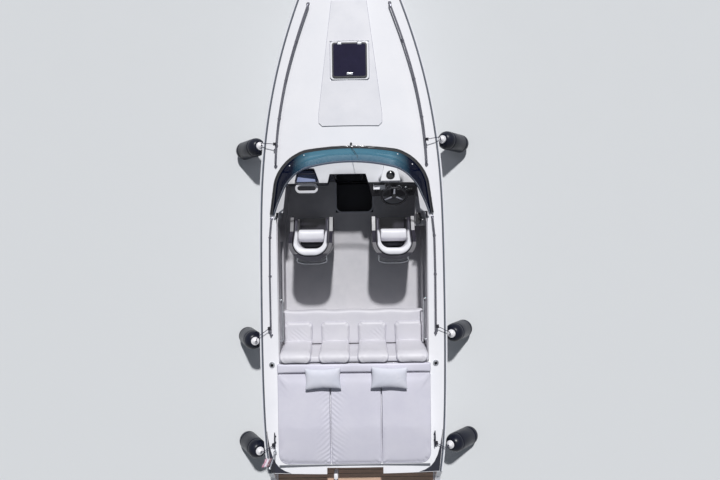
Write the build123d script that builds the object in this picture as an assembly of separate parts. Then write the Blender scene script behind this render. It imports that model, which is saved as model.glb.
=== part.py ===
from build123d import *
from collections import namedtuple
from math import cos, radians, sin
import os

# Speedboat with a cuddy cabin, millimetres.
# Origin on the centreline at the waterline, near amidships; +Y bow, +X starboard, +Z up.

# Hull stations from the transom to the stem. Columns: y along the boat; sheer_x and sheer_z
# the hull's top edge; chine_x and chine_z the outer chine; keel_z the keel; crown_z the
# deck's height on the centreline.
Station = namedtuple("Station", "y sheer_x sheer_z chine_x chine_z keel_z crown_z")
STATIONS = [
    Station(-3700, 1150, 715, 1045, -75, -430, 785),
    Station(-2941, 1212, 735, 1065, -73, -440, 808),
    Station(-2182, 1227, 755, 1075, -70, -450, 845),
    Station(-1422, 1228, 772, 1075, -62, -456, 900),
    Station(-663, 1220, 790, 1065, -48, -460, 960),
    Station(96, 1198, 812, 1030, -22, -460, 1015),
    Station(856, 1128, 840, 940, 25, -450, 1050),
    Station(1615, 989, 872, 790, 110, -410, 1064),
    Station(2375, 767, 910, 580, 240, -300, 1060),
    Station(3134, 462, 955, 330, 440, -20, 1050),
    Station(3894, 30, 1006, 12, 850, 730, 1028),
]
HULL_WALL = 18
CHINE_FLAT = 55
TRANSOM_Y = -3700
DECK_WALL = 16
DECK_SEAT = 2

# Rub rail: black rubber with a stainless half-round outside it.
RAIL_GAP = 4
RAIL_RUBBER = 20
RAIL_STEEL = 21
RAIL_BELOW = 38
RAIL_ABOVE = 26

# Cockpit, floor level and the raised deck opening
FLOOR_Z = 80
FLOOR_WALL = 18
COCKPIT_X = 1015
COCKPIT_FRONT_X = 905
COCKPIT_KNEE_Y = -300
BULKHEAD_Y = 350
BULKHEAD_WALL = 20
LINER_WALL = 14
DASH_DROP = 30

# Pockets in the cockpit sides
POCKET_X = 1062
POCKET_Y = (-1400, -530)
POCKET_Z = (330, 600)

# Entry well in front of the cabin door
WELL_X = (-246, 304)
WELL_Y = (-114, 330)
WELL_FLOOR_Z = -190
WELL_CORNER = 95

# Cabin: floor and berth heights, and the berth's limits along the boat
CABIN_FLOOR_Z = -190
BERTH_Z = (120, 140)
BERTH_Y = (925, 2600)
BERTH_CUSHION_Z = (141, 235)

# Windshield outline where it meets the deck. The front is straight to the first corner point,
# round through the second to the third, and then near straight to the end. Points are x and y;
# the top edge's points are y and z.
SCREEN_FRONT_Y = 690
SCREEN_CORNERS = [(605, 606), (838, 418), (936, 200)]
SCREEN_END = (990, -215)
SCREEN_FOOT_Z = 1040
SCREEN_RAKE = 0.72
SCREEN_LEAN = 0.5
SCREEN_TOP = [(-260, 897), (-60, 1020), (130, 1180), (260, 1300), (360, 1355), (470, 1372), (800, 1385)]
GLASS = 7

# Raised panel of the foredeck, in plan
PANEL_OUTLINE = [
    (-228, 2600), (228, 2600), (412, 1130), (412, 1010),
    (370, 968), (-370, 968), (-412, 1010), (-412, 1130),
]
PANEL_RISE = 12

# Foredeck hatch, anchor locker and rod holders
HATCH_Y = 1812
HATCH_HOLE = 235
HATCH_FRAME = 500
HATCH_LID = 456
HATCH_WINDOW = 420
LOCKER_Y = (2640, 3230)
LOCKER_X = (195, 150)
LOCKER_TUB_Z = (790, 1100)
LOCKER_CLEAR = 16
ROD_X = 1110
ROD_Y = -2205
ROD_BORE = 20.5
ROD_TUBE = 24
ROD_LENGTH = 230
ROD_TILT = 20

# Cabin door
DOOR_X = (-236, 294)
DOOR_Z = (-165, 880)

# Helm seats
SEAT_X = (-557, 562)
SEAT_Y = (-785, -205)
SEAT_WIDTH = 582
SEAT_SHELL = 46
SEAT_CORNER = 235
SEAT_INNER_CORNER = 76
SEAT_ARM = 60
SEAT_BACK = 102
SEAT_PAN_Z = 330
SEAT_PAN_FRONT_Y = -556
PEDESTAL_Y = -500
BAR_Z = 700
SEAT_HINGE_Y = -520
SEAT_HINGE_Z = 500
BOLSTER_HALF = 178

# Side outlines, y and z: the bucket's top edge from aft to front, and the bolster from its hinge
SEAT_CREST = [(-830, 930), (-700, 960), (-560, 930), (-400, 740), (-150, 640)]
BOLSTER = [
    (-12, 2), (-26, 60), (-26, 210), (10, 275), (110, 275),
    (146, 215), (120, 120), (66, 50), (60, 2),
]

# Console at starboard that carries the throttle
SIDE_CONSOLE = [(858, -340), (1008, -340), (1008, -200), (975, 70), (880, 70)]
SIDE_CONSOLE_Z = (560, 680)

# Dash: its opening to the cabin and its tray in plan, and the consoles' aft faces
DASH_MOUTH = [(-285, 345), (190, 345), (283, 49), (-360, 49)]
DASH_TRAY = [(-700, 415), (-500, 415), (-440, 252), (-742, 252)]
COMPASS_POD = [(446, 512), (586, 512), (642, 240), (384, 240)]
COMPASS_PLACE = (515, 318, 1059)
CONSOLE_AFT_Y = 236

# Steering wheel, on a console face that slopes aft
WHEEL_X = 569
CONSOLE_FACE = ((200, 900), (75, 740))
WHEEL_OFF = 112
WHEEL_RADIUS = 165
RIM_RADIUS = 15

# Bench and sunpad
BENCH_Y = (-1985, -1500)
BENCH_SEAT_Z = 500
BENCH_BASE_Z = 400
BENCH_BASE_FRONT_Y = -1560
BENCH_WALL = 20
BENCH_PAD_X = (-776, -259, 259, 776)
BENCH_PAD_WIDTH = 430
BENCH_BACK_Y = -2166
LID_Y = (-3545, -2174)
LID_X = 1028
LID_Z = (800, 840)
PAD_Z = 925
SUNPAD_Y = (-3530, -2300)
SUNPAD_SEAMS = (-1026, -318, 362, 1026)
PAD_GAP = 6
PILLOWS = [((-660, -156), (-2502, -2196)), ((212, 722), (-2506, -2190))]
PILLOW_THICK = 90

# Stern; the wing's outline is y aft of the platform's front, and z
PLATFORM_Y = (-4290, -3704)
PLATFORM_X = 1200
PLATFORM_Z = (310, 420)
PLATFORM_CORNER = 380
NOTCH_X = 382
NOTCH_Y = -3612
WING = [(0, 300), (0, 712), (-60, 640), (-150, 530), (-300, 440), (-380, 420), (-380, 330)]
WING_X = (1118, 1194)

# Drive; outlines are y and z from the tilt axis
STEER_Y = -3800
TILT_Y = -3838
TILT_Z = -30
PROP_Y = -4140
PROP_Z = -610
PIN_RADIUS = 12
SHAFT_RADIUS = 14
PIN_PLAY = 0.06
ARM_ROOM = 43
HOUSING = [(-43, -130), (-43, 20), (-115, 85), (-245, 85), (-292, 30), (-292, -190), (-60, -190)]
LEG = [(-60, -156), (-292, -156), (-235, -470), (-235, -570), (-90, -570)]
SWIVEL = [(24, -22), (24, 22), (-60, 30), (-120, -20), (-120, -110), (-60, -60)]
SKEG = [(-80, -610), (-170, -820), (-230, -820), (-240, -610)]

# Cleats: x, y and the bar's height over the deck
CLEATS = [(1086, -3230, 46), (470, 2880, 46)]
CLEAT_LENGTH = 225

# Rails: y and x along the bow rail, its height over the deck, then the side and cockpit rails
BOW_RAIL = [(2560, 535), (2100, 700), (1600, 846), (1100, 945), (740, 988), (500, 1003)]
RAIL_LIFT = 55
SIDE_RAIL = [(-252, 1077), (-480, 1103), (-1000, 1112), (-1778, 1112)]
SIDE_RAIL_LIFT = 48
COCKPIT_RAIL_Y = (-1890, -1330)
COCKPIT_RAIL_Z = 745

# Fenders. Columns: side of the boat, y and x of the top end, lean of the lower end away from
# the hull in degrees, and the place of the line's knot.
Fender = namedtuple("Fender", "side y top_x lean knot_x knot_y knot_z")
FENDERS = [
    Fender(-1, 815, 1280, 38, 1005, 752, 985),
    Fender(1, 880, 1280, 41, 1005, 790, 985),
    Fender(-1, -1925, 1377, 24, 1130, -1700, 860),
    Fender(1, -1860, 1366, 31, 1130, -1700, 860),
    Fender(-1, -3475, 1335, 31, 1104, -3290, 795),
    Fender(1, -3445, 1340, 44, 1104, -3290, 795),
]
FENDER_LENGTH = 620
FENDER_RADIUS = 131
FLOAT_Z = 112
LINE_RADIUS = 5
TUBE_SIDES = 8

# Flag at port
FLAG_X = -1088
FLAG_Y = -3395


def mirrored(points):
    """Points of one side followed by those of the other, as a closed ring."""
    return list(points) + [(-x, z) for x, z in reversed(points) if x > 0]


def section_wire(y, ring):
    return Wire.make_polygon([Vector(x, y, z) for x, z in ring], close=True)


def hull_ring(s, inset, top):
    """Half section of the hull from keel to sheer, moved inward by inset."""
    rise = inset * 1.1
    ring = [
        (0, s.keel_z + rise),
        (max(s.chine_x - CHINE_FLAT - inset, 4), s.chine_z - 12 * s.chine_x / 1070 + rise),
        (max(s.chine_x - inset, 6), s.chine_z + rise * 0.6),
        (max(s.sheer_x - inset, 8), s.sheer_z + top),
    ]
    return mirrored(ring)


def hull_loft(inset, top, stations):
    return Solid.make_loft([section_wire(s.y, hull_ring(s, inset, top)) for s in stations])


def box(x, y, z):
    """Box between two limits along each axis."""
    size = (x[1] - x[0], y[1] - y[0], z[1] - z[0])
    centre = ((x[0] + x[1]) / 2, (y[0] + y[1]) / 2, (z[0] + z[1]) / 2)
    return Pos(*centre) * Box(*size)


def prism(points, low, high):
    """Upright prism over a closed plan outline."""
    face = make_face(Polyline(*points, close=True))
    return Pos(0, 0, low) * extrude(face, amount=high - low, dir=(0, 0, 1))


def side_prism(points, low, high):
    """Prism across the boat over an outline drawn in y and z."""
    face = make_face(Polyline(*[(low, y, z) for y, z in points], close=True))
    return extrude(face, amount=high - low, dir=(1, 0, 0))


def cross_prism(points, low, high):
    """Prism along the boat over an outline drawn in x and z."""
    face = make_face(Polyline(*[(x, low, z) for x, z in points], close=True))
    return extrude(face, amount=high - low, dir=(0, 1, 0))


def post(radius, height):
    """Cylinder that stands on its origin."""
    return Cylinder(radius, height, align=(Align.CENTER, Align.CENTER, Align.MIN))


def moved_outline(points, y, z):
    return [(y + a, z + b) for a, b in points]


def cylinder_between(start, end, radius):
    start, end = Vector(*start), Vector(*end)
    plane = Plane(origin=start, z_dir=end - start)
    return extrude(plane * Circle(radius), amount=(end - start).length)


def corner_cut(points, bend):
    """Path with each corner replaced by two points, a bend's length before and after it."""
    path = [Vector(*points[0])]
    for before, corner, after in zip(points, points[1:], points[2:]):
        corner = Vector(*corner)
        for other in (Vector(*before), Vector(*after)):
            path.append(corner + (other - corner).normalized() * bend)
    return path + [Vector(*points[-1])]


def tube(points, radius, bend=0):
    """Eight-sided bar along straight runs, its corners cut by the bend."""
    path = corner_cut(points, bend) if bend else [Vector(*point) for point in points]
    face = Plane(origin=path[0], z_dir=path[1] - path[0]) * RegularPolygon(radius, TUBE_SIDES)
    return sweep(face, path=Polyline(*path), transition=Transition.RIGHT)


def station_value(y, column):
    """Value of a station column at any y, on a cubic through the four nearest stations."""
    step = STATIONS[1].y - STATIONS[0].y
    first = min(max(int((y - STATIONS[0].y) // step) - 1, 0), len(STATIONS) - 4)
    rows = STATIONS[first:first + 4]
    total = 0
    for row in rows:
        weight = 1
        for other in rows:
            if other is not row:
                weight *= (y - other.y) / (row.y - other.y)
        total += weight * getattr(row, column)
    return total


def deck_z(x, y):
    """Height of the deck's upper face, from the circular arc across it."""
    half = station_value(y, "sheer_x")
    low = station_value(y, "sheer_z") + DECK_SEAT + DECK_WALL
    rise = station_value(y, "crown_z") - low
    return low + rise * (1 - (x / half) ** 2)


def solids_of(shape):
    return shape.solids() if hasattr(shape, "solids") else [s for item in shape for s in item.solids()]


PARTS = {}


def keep(name, *shapes):
    found = []
    for shape in shapes:
        found += solids_of(shape)
    PARTS[name] = found[0] if len(found) == 1 else Compound(found)


def round_aft_outline(half, aft, front, corner):
    """Plan face with square front corners and round aft corners."""
    turn = corner * (1 - cos(radians(45)))
    side, low = half - corner, aft + corner
    return Face(Wire([
        Edge.make_line((half, front), (-half, front)),
        Edge.make_line((-half, front), (-half, low)),
        Edge.make_three_point_arc((-half, low), (-half + turn, aft + turn), (-side, aft)),
        Edge.make_line((-side, aft), (side, aft)),
        Edge.make_three_point_arc((side, aft), (half - turn, aft + turn), (half, low)),
        Edge.make_line((half, low), (half, front)),
    ]))


# Solids shared by several pieces: the hull's outside, its inside and the room within it
inner_rows = [s._replace(y=min(max(s.y, TRANSOM_Y + 45), 3830)) for s in STATIONS[:-1]]
outer_hull = hull_loft(0, 0, STATIONS)
inner_hull = hull_loft(HULL_WALL, 30, inner_rows)
hull_cavity = hull_loft(HULL_WALL + 8, 0, inner_rows)


def make_hull():
    notch = box((-NOTCH_X - 11, NOTCH_X + 11), (-3800, NOTCH_Y + 11), (398, 900))
    locker = prism(locker_outline(-LOCKER_CLEAR), LOCKER_TUB_Z[0] - LOCKER_CLEAR, LOCKER_TUB_Z[1])
    keep("hull", outer_hull - inner_hull - notch - locker)


def deck_section(s, low, high):
    """Arc across the deck at a station, one wall thick, moved at its lower and upper face."""
    half = s.sheer_x - 1
    edge = s.sheer_z + DECK_SEAT
    top_edge = edge + DECK_WALL
    a, b = Vector(-half, s.y, top_edge + high), Vector(half, s.y, top_edge + high)
    c, d = Vector(half, s.y, edge + low), Vector(-half, s.y, edge + low)
    return Wire([
        Edge.make_three_point_arc(a, Vector(0, s.y, s.crown_z + high), b),
        Edge.make_line(b, c),
        Edge.make_three_point_arc(c, Vector(0, s.y, s.crown_z - DECK_WALL + low), d),
        Edge.make_line(d, a),
    ])


def deck_shell(low, high):
    return Solid.make_loft([deck_section(s, low, high) for s in STATIONS])


deck_skin = deck_shell(0, 0)
under_deck = deck_shell(-500, 0.5)
over_deck = deck_shell(-1, 600)


def screen_outline(inset, shift=0):
    """Plan outline of the windshield, moved inward by inset and its front aft by shift."""
    (ax, ay), (bx, by), (cx, cy) = SCREEN_CORNERS
    ex, ey = SCREEN_END
    slant = inset * 0.7
    front = Vector(0, SCREEN_FRONT_Y - inset - shift)
    a = Vector(ax - slant * 0.3, ay - inset - shift)
    b = Vector(bx - slant, by - slant - shift)
    c = Vector(cx - inset, cy - slant * 0.3 - shift)
    e = Vector(ex - inset, ey)

    def flip(v):
        return Vector(-v.X, v.Y)

    return Wire([
        Edge.make_three_point_arc(flip(a), front, a),
        Edge.make_three_point_arc(a, b, c),
        Edge.make_line(c, e),
        Edge.make_line(e, flip(e)),
        Edge.make_line(flip(e), flip(c)),
        Edge.make_three_point_arc(flip(c), flip(b), flip(a)),
    ])


def screen_prism(inset, low, high):
    return Pos(0, 0, low) * extrude(Face(screen_outline(inset)), amount=high - low, dir=(0, 0, 1))


def rod_place(side):
    return Pos(side * ROD_X, ROD_Y, deck_z(ROD_X, ROD_Y)) * Rot(ROD_TILT, 0, 0)


def make_deck():
    opening = box((-COCKPIT_X, COCKPIT_X), (LID_Y[0] + 95, -150), (500, 1400))
    front = screen_prism(62, 500, 1400) & box((-1100, 1100), (-215, 700), (500, 1400))
    hatch = square_hole(HATCH_HOLE)
    locker = prism(locker_outline(0), LOCKER_TUB_Z[0] + 10, 1400)
    notch = box((-NOTCH_X, NOTCH_X), (-3800, NOTCH_Y), (500, 1400))
    tub = prism(locker_outline(-12), *LOCKER_TUB_Z) - prism(locker_outline(-2), LOCKER_TUB_Z[0] + 10, 1200)
    deck = deck_skin - opening - front - hatch - notch + (tub - Pos(0, 0, 12) * over_deck) - locker
    for side in (-1, 1):
        deck = deck - rod_place(side) * Cylinder(ROD_TUBE + 3, 300)
    keep("deck", deck)
    panel = deck_shell(DECK_WALL + 1, PANEL_RISE) & prism(PANEL_OUTLINE, 700, 1400)
    keep("foredeck_panel", panel - square_hole(HATCH_FRAME / 2 + 8))


def square_hole(half):
    """Upright block through the deck where the hatch is."""
    return box((-half, half), (HATCH_Y - half, HATCH_Y + half), (700, 1400))


def locker_outline(inset):
    aft, front = LOCKER_X[0] - inset, LOCKER_X[1] - inset
    low, high = LOCKER_Y[0] + inset, LOCKER_Y[1] - inset
    return [(-front, high), (front, high), (aft, low), (-aft, low)]


def on_deck(x, y):
    """Plane on the deck that follows its slope along the boat."""
    rise = (deck_z(x, y + 200) - deck_z(x, y - 200)) / 400
    return Plane(origin=(x, y, deck_z(x, y)), x_dir=(1, 0, 0), z_dir=(0, -rise, 1))


def rounded_slab(width, corner, low, high):
    return Pos(0, 0, low) * extrude(RectangleRounded(width, width, corner), amount=high - low)


def make_hatch():
    seat = on_deck(0, HATCH_Y)
    frame = rounded_slab(HATCH_FRAME, 42, 0, 14) + rounded_slab(HATCH_FRAME - 38, 30, -45, 1)
    hole = rounded_slab(412, 24, -60, 40)
    lid = rounded_slab(HATCH_LID, 36, 18, 30)
    window = rounded_slab(HATCH_WINDOW, 24, 10, 40)
    glass = rounded_slab(HATCH_WINDOW - 0.4, 23.8, 18.5, 31.5)
    for x in (-130, 130):
        lid = lid + Pos(x, HATCH_LID / 2 + 4, 25) * Rot(0, 90, 0) * Cylinder(7, 60)
    keep("deck_hatch_frame", seat * (Pos(0, 0, 2) * (frame - hole)))
    keep("deck_hatch_lid", seat * (lid - window))
    keep("deck_hatch_glass", seat * glass)


def make_locker():
    latch = on_deck(0, LOCKER_Y[0] + 45) * (Pos(0, 0, -8) * extrude(SlotOverall(62, 30), amount=15))
    keep("anchor_locker_lid", (deck_skin & prism(locker_outline(8), 700, 1400)) + latch)


def rail_section(s, side, inner, outer, low, high):
    x_in, x_out = s.sheer_x + inner, s.sheer_x + outer
    ring = [(x_in, low), (x_out, low + 6), (x_out, high - 6), (x_in, high)]
    return section_wire(s.y, [(side * x, s.sheer_z + z) for x, z in ring])


def rail_strip(side, inner, outer, low, high):
    return Solid.make_loft([rail_section(s, side, inner, outer, low, high) for s in STATIONS])


def make_rub_rail():
    edge = RAIL_GAP + RAIL_RUBBER
    keep("rub_rail", *[rail_strip(side, RAIL_GAP, edge, -RAIL_BELOW, RAIL_ABOVE) for side in (-1, 1)])
    keep("rub_rail_insert", *[rail_strip(side, edge + 0.3, edge + RAIL_STEEL, -14, 16) for side in (-1, 1)])


def cockpit_outline(inset, aft, knee, front):
    """Plan of the cockpit, whose sides draw together ahead of the knee."""
    x, front_x = COCKPIT_X - inset, COCKPIT_FRONT_X - inset
    return [(-x, aft), (x, aft), (x, knee), (front_x, front), (-front_x, front), (-x, knee)]


def make_liner():
    plan = cockpit_outline(0, BENCH_BACK_Y, COCKPIT_KNEE_Y, BULKHEAD_Y - 2)
    outer = prism(plan, FLOOR_Z - FLOOR_WALL, 900)
    inner = prism(cockpit_outline(LINER_WALL, -2300, COCKPIT_KNEE_Y - 2, 400), FLOOR_Z, 910)
    well = box((WELL_X[0] - 1, WELL_X[1] + 1), (WELL_Y[0] - 1, 400), (0, 200))
    under_dash = (Pos(0, 0, -DASH_DROP) * over_deck) & box((-1100, 1100), (225, 700), (500, 1400))
    liner = outer - inner - well - over_deck - under_dash
    pockets = []
    for side in (-1, 1):
        hollow = side_box(side, (990, POCKET_X - LINER_WALL), POCKET_Y, POCKET_Z)
        liner = liner - hollow
        y = (POCKET_Y[0] - LINER_WALL, POCKET_Y[1] + LINER_WALL)
        z = (POCKET_Z[0] - LINER_WALL, POCKET_Z[1] + LINER_WALL)
        pockets.append(side_box(side, (COCKPIT_X + 0.5, POCKET_X), y, z) - hollow)
    liner = liner + prism(SIDE_CONSOLE, *SIDE_CONSOLE_Z)
    keep("cockpit_liner", liner)
    keep("side_pockets", *pockets)


def side_box(side, x, y, z):
    """Box on the port or starboard side, its x limits given for starboard."""
    return box(sorted((side * x[0], side * x[1])), y, z)


def make_well():
    width = WELL_X[1] - WELL_X[0]
    depth = WELL_Y[1] - WELL_Y[0] + 300
    middle = (WELL_X[0] + WELL_X[1]) / 2

    def block(inset, low, high, front):
        face = RectangleRounded(width - 2 * inset, depth - 2 * inset, WELL_CORNER - inset)
        solid = Pos(middle, WELL_Y[0] + depth / 2, low) * extrude(face, amount=high - low)
        return solid & box((-500, 500), (-300, front), (low - 10, high + 10))

    rim = block(-14, FLOOR_Z + 0.5, FLOOR_Z + 8, WELL_Y[1])
    tub = block(0, WELL_FLOOR_Z - 12, FLOOR_Z + 8, WELL_Y[1])
    keep("entry_well", tub + rim - block(12, WELL_FLOOR_Z, 300, 500))


def make_cabin():
    x = COCKPIT_FRONT_X
    wall_y = (BULKHEAD_Y, BULKHEAD_Y + BULKHEAD_WALL)
    wall = cross_prism([(-x, 64), (x, 64), (x, 990), (-x, 990)], *wall_y)
    wall = wall - Pos(0, 0, -DASH_DROP) * over_deck
    skirt = box((WELL_X[0] - 40, WELL_X[1] + 40), wall_y, (WELL_FLOOR_Z - 12, FLOOR_Z))
    doorway = box(WELL_X, (BULKHEAD_Y - 10, BULKHEAD_Y + 40), (WELL_FLOOR_Z + 15, DOOR_Z[1] + 10))
    keep("cabin_bulkhead", (wall + skirt) - doorway)
    grip_x, near, far = 150, BULKHEAD_Y + 8, BULKHEAD_Y - 24
    grip = tube([(grip_x, near, 420), (grip_x, far, 420), (grip_x, far, 560), (grip_x, near, 560)], 9, 8)
    keep("cabin_door", box(DOOR_X, (BULKHEAD_Y + 3, BULKHEAD_Y + 15), DOOR_Z) + grip)
    width = (-1100, 1100)
    sole_y = (BULKHEAD_Y + 24, BERTH_Y[0] - 7)
    sole = hull_cavity & box(width, sole_y, (CABIN_FLOOR_Z - 16, CABIN_FLOOR_Z))
    keep("cabin_sole_and_berth", sole, hull_cavity & box(width, BERTH_Y, BERTH_Z))
    cushion = box(width, (BERTH_Y[0] + 10, BERTH_Y[1] - 40), BERTH_CUSHION_Z)
    keep("berth_cushion", hull_loft(HULL_WALL + 20, 0, inner_rows) & cushion)


def screen_shell(inset):
    """Solid inside the raked surface of the windshield."""
    wires = []
    for z in (700, 1500):
        rise = z - SCREEN_FOOT_Z
        outline = screen_outline(inset + rise * SCREEN_LEAN, rise * (SCREEN_RAKE - SCREEN_LEAN))
        wires.append(outline.moved(Location((0, 0, z))))
    return Solid.make_loft(wires, ruled=True)


def screen_band(low, high):
    """Slab that follows the windshield's top edge down to its aft ends."""
    points = [(y, z + low) for y, z in SCREEN_TOP] + [(y, z + high) for y, z in reversed(SCREEN_TOP)]
    return side_prism(points, -1300, 1300)


def make_windshield():
    front = box((-1300, 1300), (SCREEN_END[1] + 40, 900), (600, 1500))
    frame_wall = (screen_shell(-24) - screen_shell(GLASS + 16)) & front
    edge_wall = (screen_shell(-5) - screen_shell(GLASS + 5)) & front
    glass_wall = (screen_shell(0) - screen_shell(GLASS)) & front
    foot = (frame_wall & deck_shell(-100, 30)) - under_deck
    keep("windshield_foot", foot)
    keep("windshield_top", edge_wall & screen_band(-16, 4))
    glass = glass_wall - deck_shell(-600, 30.4) - screen_band(-16.3, 900)
    keep("windshield_glass", glass)


def console(plan, outline):
    """Block over a plan outline, shaped from the side and kept below the dash skin."""
    solid = prism(plan, 0, 1200) & side_prism(outline, -1100, 1100)
    return solid - Pos(0, 0, -DASH_DROP) * over_deck


def make_dash():
    drop = Pos(0, 0, -DASH_DROP)
    region = screen_prism(66, 500, 1400) & box((-1100, 1100), (232, 700), (500, 1400))
    mouth = prism(DASH_MOUTH, 500, 1400)
    tray = prism(DASH_TRAY, 875, 1400)
    pod = prism(COMPASS_POD, 800, 1300)
    pod = pod & side_prism([(230, 1062), (520, 1015), (520, 800), (230, 800)], 300, 700)
    pod = pod - drop * deck_shell(-400, -4)
    dash = ((drop * deck_skin) & region) + pod - mouth - tray
    keep("compass", Pos(*COMPASS_PLACE) * post(57, 26))
    front, aft = BULKHEAD_Y - 4, CONSOLE_AFT_Y
    port = console([(-880, front), (-292, front), (-334, aft), (-880, aft)],
                   [(front, 480), (front, 1100), (aft, 1100), (aft, 560), (300, 480)])
    slot = Pos(0, 0, -5) * extrude(SlotOverall(246, 62), amount=50)
    handle = Pos(-600, 176, 866) * Rot(14, 0, 0) * (extrude(SlotOverall(307, 132), amount=26) - slot)
    keep("port_console", port - tray + handle)
    top, low = CONSOLE_FACE
    helm = console([(197, front), (276, low[0]), (850, low[0]), (880, 200), (880, front)],
                   [(front, 430), (front, 1100), (aft, 1100), (aft, 945), top, low, (low[0], 640),
                    (300, 430)])
    shelf = box((292, 452), (142, 228), (840, 920)) - box((300, 444), (150, 222), (905, 1000)) - helm
    keep("dash_top", dash, shelf)
    keep("helm_console", helm + wheel_plane() * (Pos(0, 0, -5) * post(34, 66)))
    binnacle = Pos(905, -238, SIDE_CONSOLE_Z[1] + 1) * extrude(RectangleRounded(70, 150, 18), amount=42)
    lever = tube([(945, -238, 705), (958, -238, 735), (958, -262, 835)], 7)
    knob = Pos(958, -264, 842) * Rot(0, 90, 0) * Cylinder(13, 60)
    pivot = Pos(944, -238, 703) * Rot(0, 90, 0) * Cylinder(15, 20)
    keep("throttle", binnacle + pivot + lever + knob)


def wheel_plane():
    (top_y, top_z), (low_y, low_z) = CONSOLE_FACE
    run = Vector(0, top_y - low_y, top_z - low_z).normalized()
    out = Vector(0, -run.Z, run.Y)
    middle = Vector(WHEEL_X, (top_y + low_y) / 2, (top_z + low_z) / 2)
    return Plane(origin=middle, x_dir=(1, 0, 0), z_dir=out)


def make_wheel():
    face = wheel_plane()
    rim = revolve(Plane.XZ * Pos(WHEEL_RADIUS, 0) * RegularPolygon(RIM_RADIUS, TUBE_SIDES), Axis.Z)
    hub = Pos(0, 0, -42) * post(32, 44)
    wheel = rim + hub
    for angle in (90, 210, 330):
        spoke = Rot(0, 0, angle) * (Pos(WHEEL_RADIUS / 2 + 10, 0, -6) * Box(WHEEL_RADIUS - 22, 30, 9))
        wheel = wheel + spoke
    keep("steering_wheel", face * (Pos(0, 0, WHEEL_OFF) * wheel))


def seat_block(side, aft, front, low, high, corner):
    """Block inside the bucket, moved in from its sides and from its aft end."""
    face = round_aft_outline(SEAT_WIDTH / 2 - side, SEAT_Y[0] + aft, front, corner)
    return Pos(0, 0, low) * extrude(face, amount=high - low, dir=(0, 0, 1))


def make_seats():
    shells, covers, pans, bars, posts = [], [], [], [], []
    below = [(-150, 200), (-830, 200)]
    wall_top = side_prism(SEAT_CREST + below, -400, 400)
    pad_top = side_prism(moved_outline(SEAT_CREST, 0, 14) + below, -400, 400)
    skin, arm, back = SEAT_SHELL, SEAT_SHELL + 1 + SEAT_ARM, SEAT_SHELL + 1 + SEAT_BACK
    corner = SEAT_CORNER - skin * 0.8
    outer = seat_block(0, 0, SEAT_Y[1], SEAT_PAN_Z - 20, 1000, SEAT_CORNER)
    shell = (outer - seat_block(skin, skin, 0, SEAT_PAN_Z, 1100, corner)) & wall_top
    cover = seat_block(skin + 1, skin + 1, SEAT_Y[1] - 8, SEAT_PAN_Z + 1, 1000, corner)
    cover = (cover - seat_block(arm, back, 0, 0, 1100, SEAT_INNER_CORNER)) & pad_top
    pan_z = SEAT_PAN_Z + 1
    pan = seat_block(arm + 1, back + 1, SEAT_PAN_FRONT_Y, pan_z, pan_z + 189, SEAT_INNER_CORNER)
    half_bar = [(190, 80), (205, -30), (110, -58)]
    plan = [(-x, y) for x, y in half_bar] + half_bar[::-1]
    bar = tube([(x, SEAT_Y[0] + y, BAR_Z) for x, y in plan], 11, 16)
    bar = bar - seat_block(-0.5, -0.5, SEAT_Y[1], 0, 1100, SEAT_CORNER)
    pedestal = Pos(0, PEDESTAL_Y, FLOOR_Z + 1) * post(190, 12)
    pedestal = pedestal + Pos(0, PEDESTAL_Y, FLOOR_Z + 5) * post(85, SEAT_PAN_Z - 26 - FLOOR_Z)
    for x in SEAT_X:
        shells.append(Pos(x, 0, 0) * shell)
        covers.append(Pos(x, 0, 0) * cover)
        pans.append(Pos(x, 0, 0) * pan)
        bars.append(Pos(x, 0, 0) * bar)
        posts.append(Pos(x, 0, 0) * pedestal)
    keep("seat_shells", *shells)
    keep("seat_upholstery", *covers, *pans)
    keep("seat_grab_bars", *bars)
    keep("seat_pedestals", *posts)
    outline = moved_outline(BOLSTER, SEAT_HINGE_Y, SEAT_HINGE_Z)
    for name, x in zip(("port", "starboard"), SEAT_X):
        keep(f"seat_bolster_{name}", side_prism(outline, x - BOLSTER_HALF, x + BOLSTER_HALF))


def make_bench():
    x = COCKPIT_X - LINER_WALL - 2
    low, front = BENCH_Y
    wall, base_z = BENCH_WALL, BENCH_BASE_Z
    base = box((-x, x), (BENCH_BACK_Y, BENCH_BASE_FRONT_Y), (FLOOR_Z + 1, base_z))
    room_y = (BENCH_BACK_Y + wall, BENCH_BASE_FRONT_Y - wall)
    keep("bench_base", base - box((-x + wall, x - wall), room_y, (60, base_z - wall)))
    keep("bench_cushion", box((-x, x), (low, front), (base_z + 1, BENCH_SEAT_Z)))
    back = [(low - 1, base_z + 2), (low - 1, BENCH_SEAT_Z), (low - 78, 890), (-2110, 915),
            (BENCH_BACK_Y, 885), (BENCH_BACK_Y, base_z + 2)]
    keep("bench_back", side_prism(back, -x, x))
    seat_pads, back_pads = [], []
    pad = [(low - 1, BENCH_SEAT_Z + 10), (low - 76, 892), (-2111, 918), (-2155, 896), (-2155, 925),
           (-2110, 952), (low - 66, 935), (low - 30, 880), (low + 28, BENCH_SEAT_Z + 48),
           (low + 20, BENCH_SEAT_Z + 10)]
    for middle in BENCH_PAD_X:
        half = BENCH_PAD_WIDTH / 2
        width = (middle - half, middle + half)
        seat_pads.append(box(width, (low + 32, -1660), (BENCH_SEAT_Z + 1, BENCH_SEAT_Z + 45)))
        back_pads.append(side_prism(pad, *width))
    keep("bench_seat_pads", *seat_pads)
    keep("bench_back_pads", *back_pads)


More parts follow.
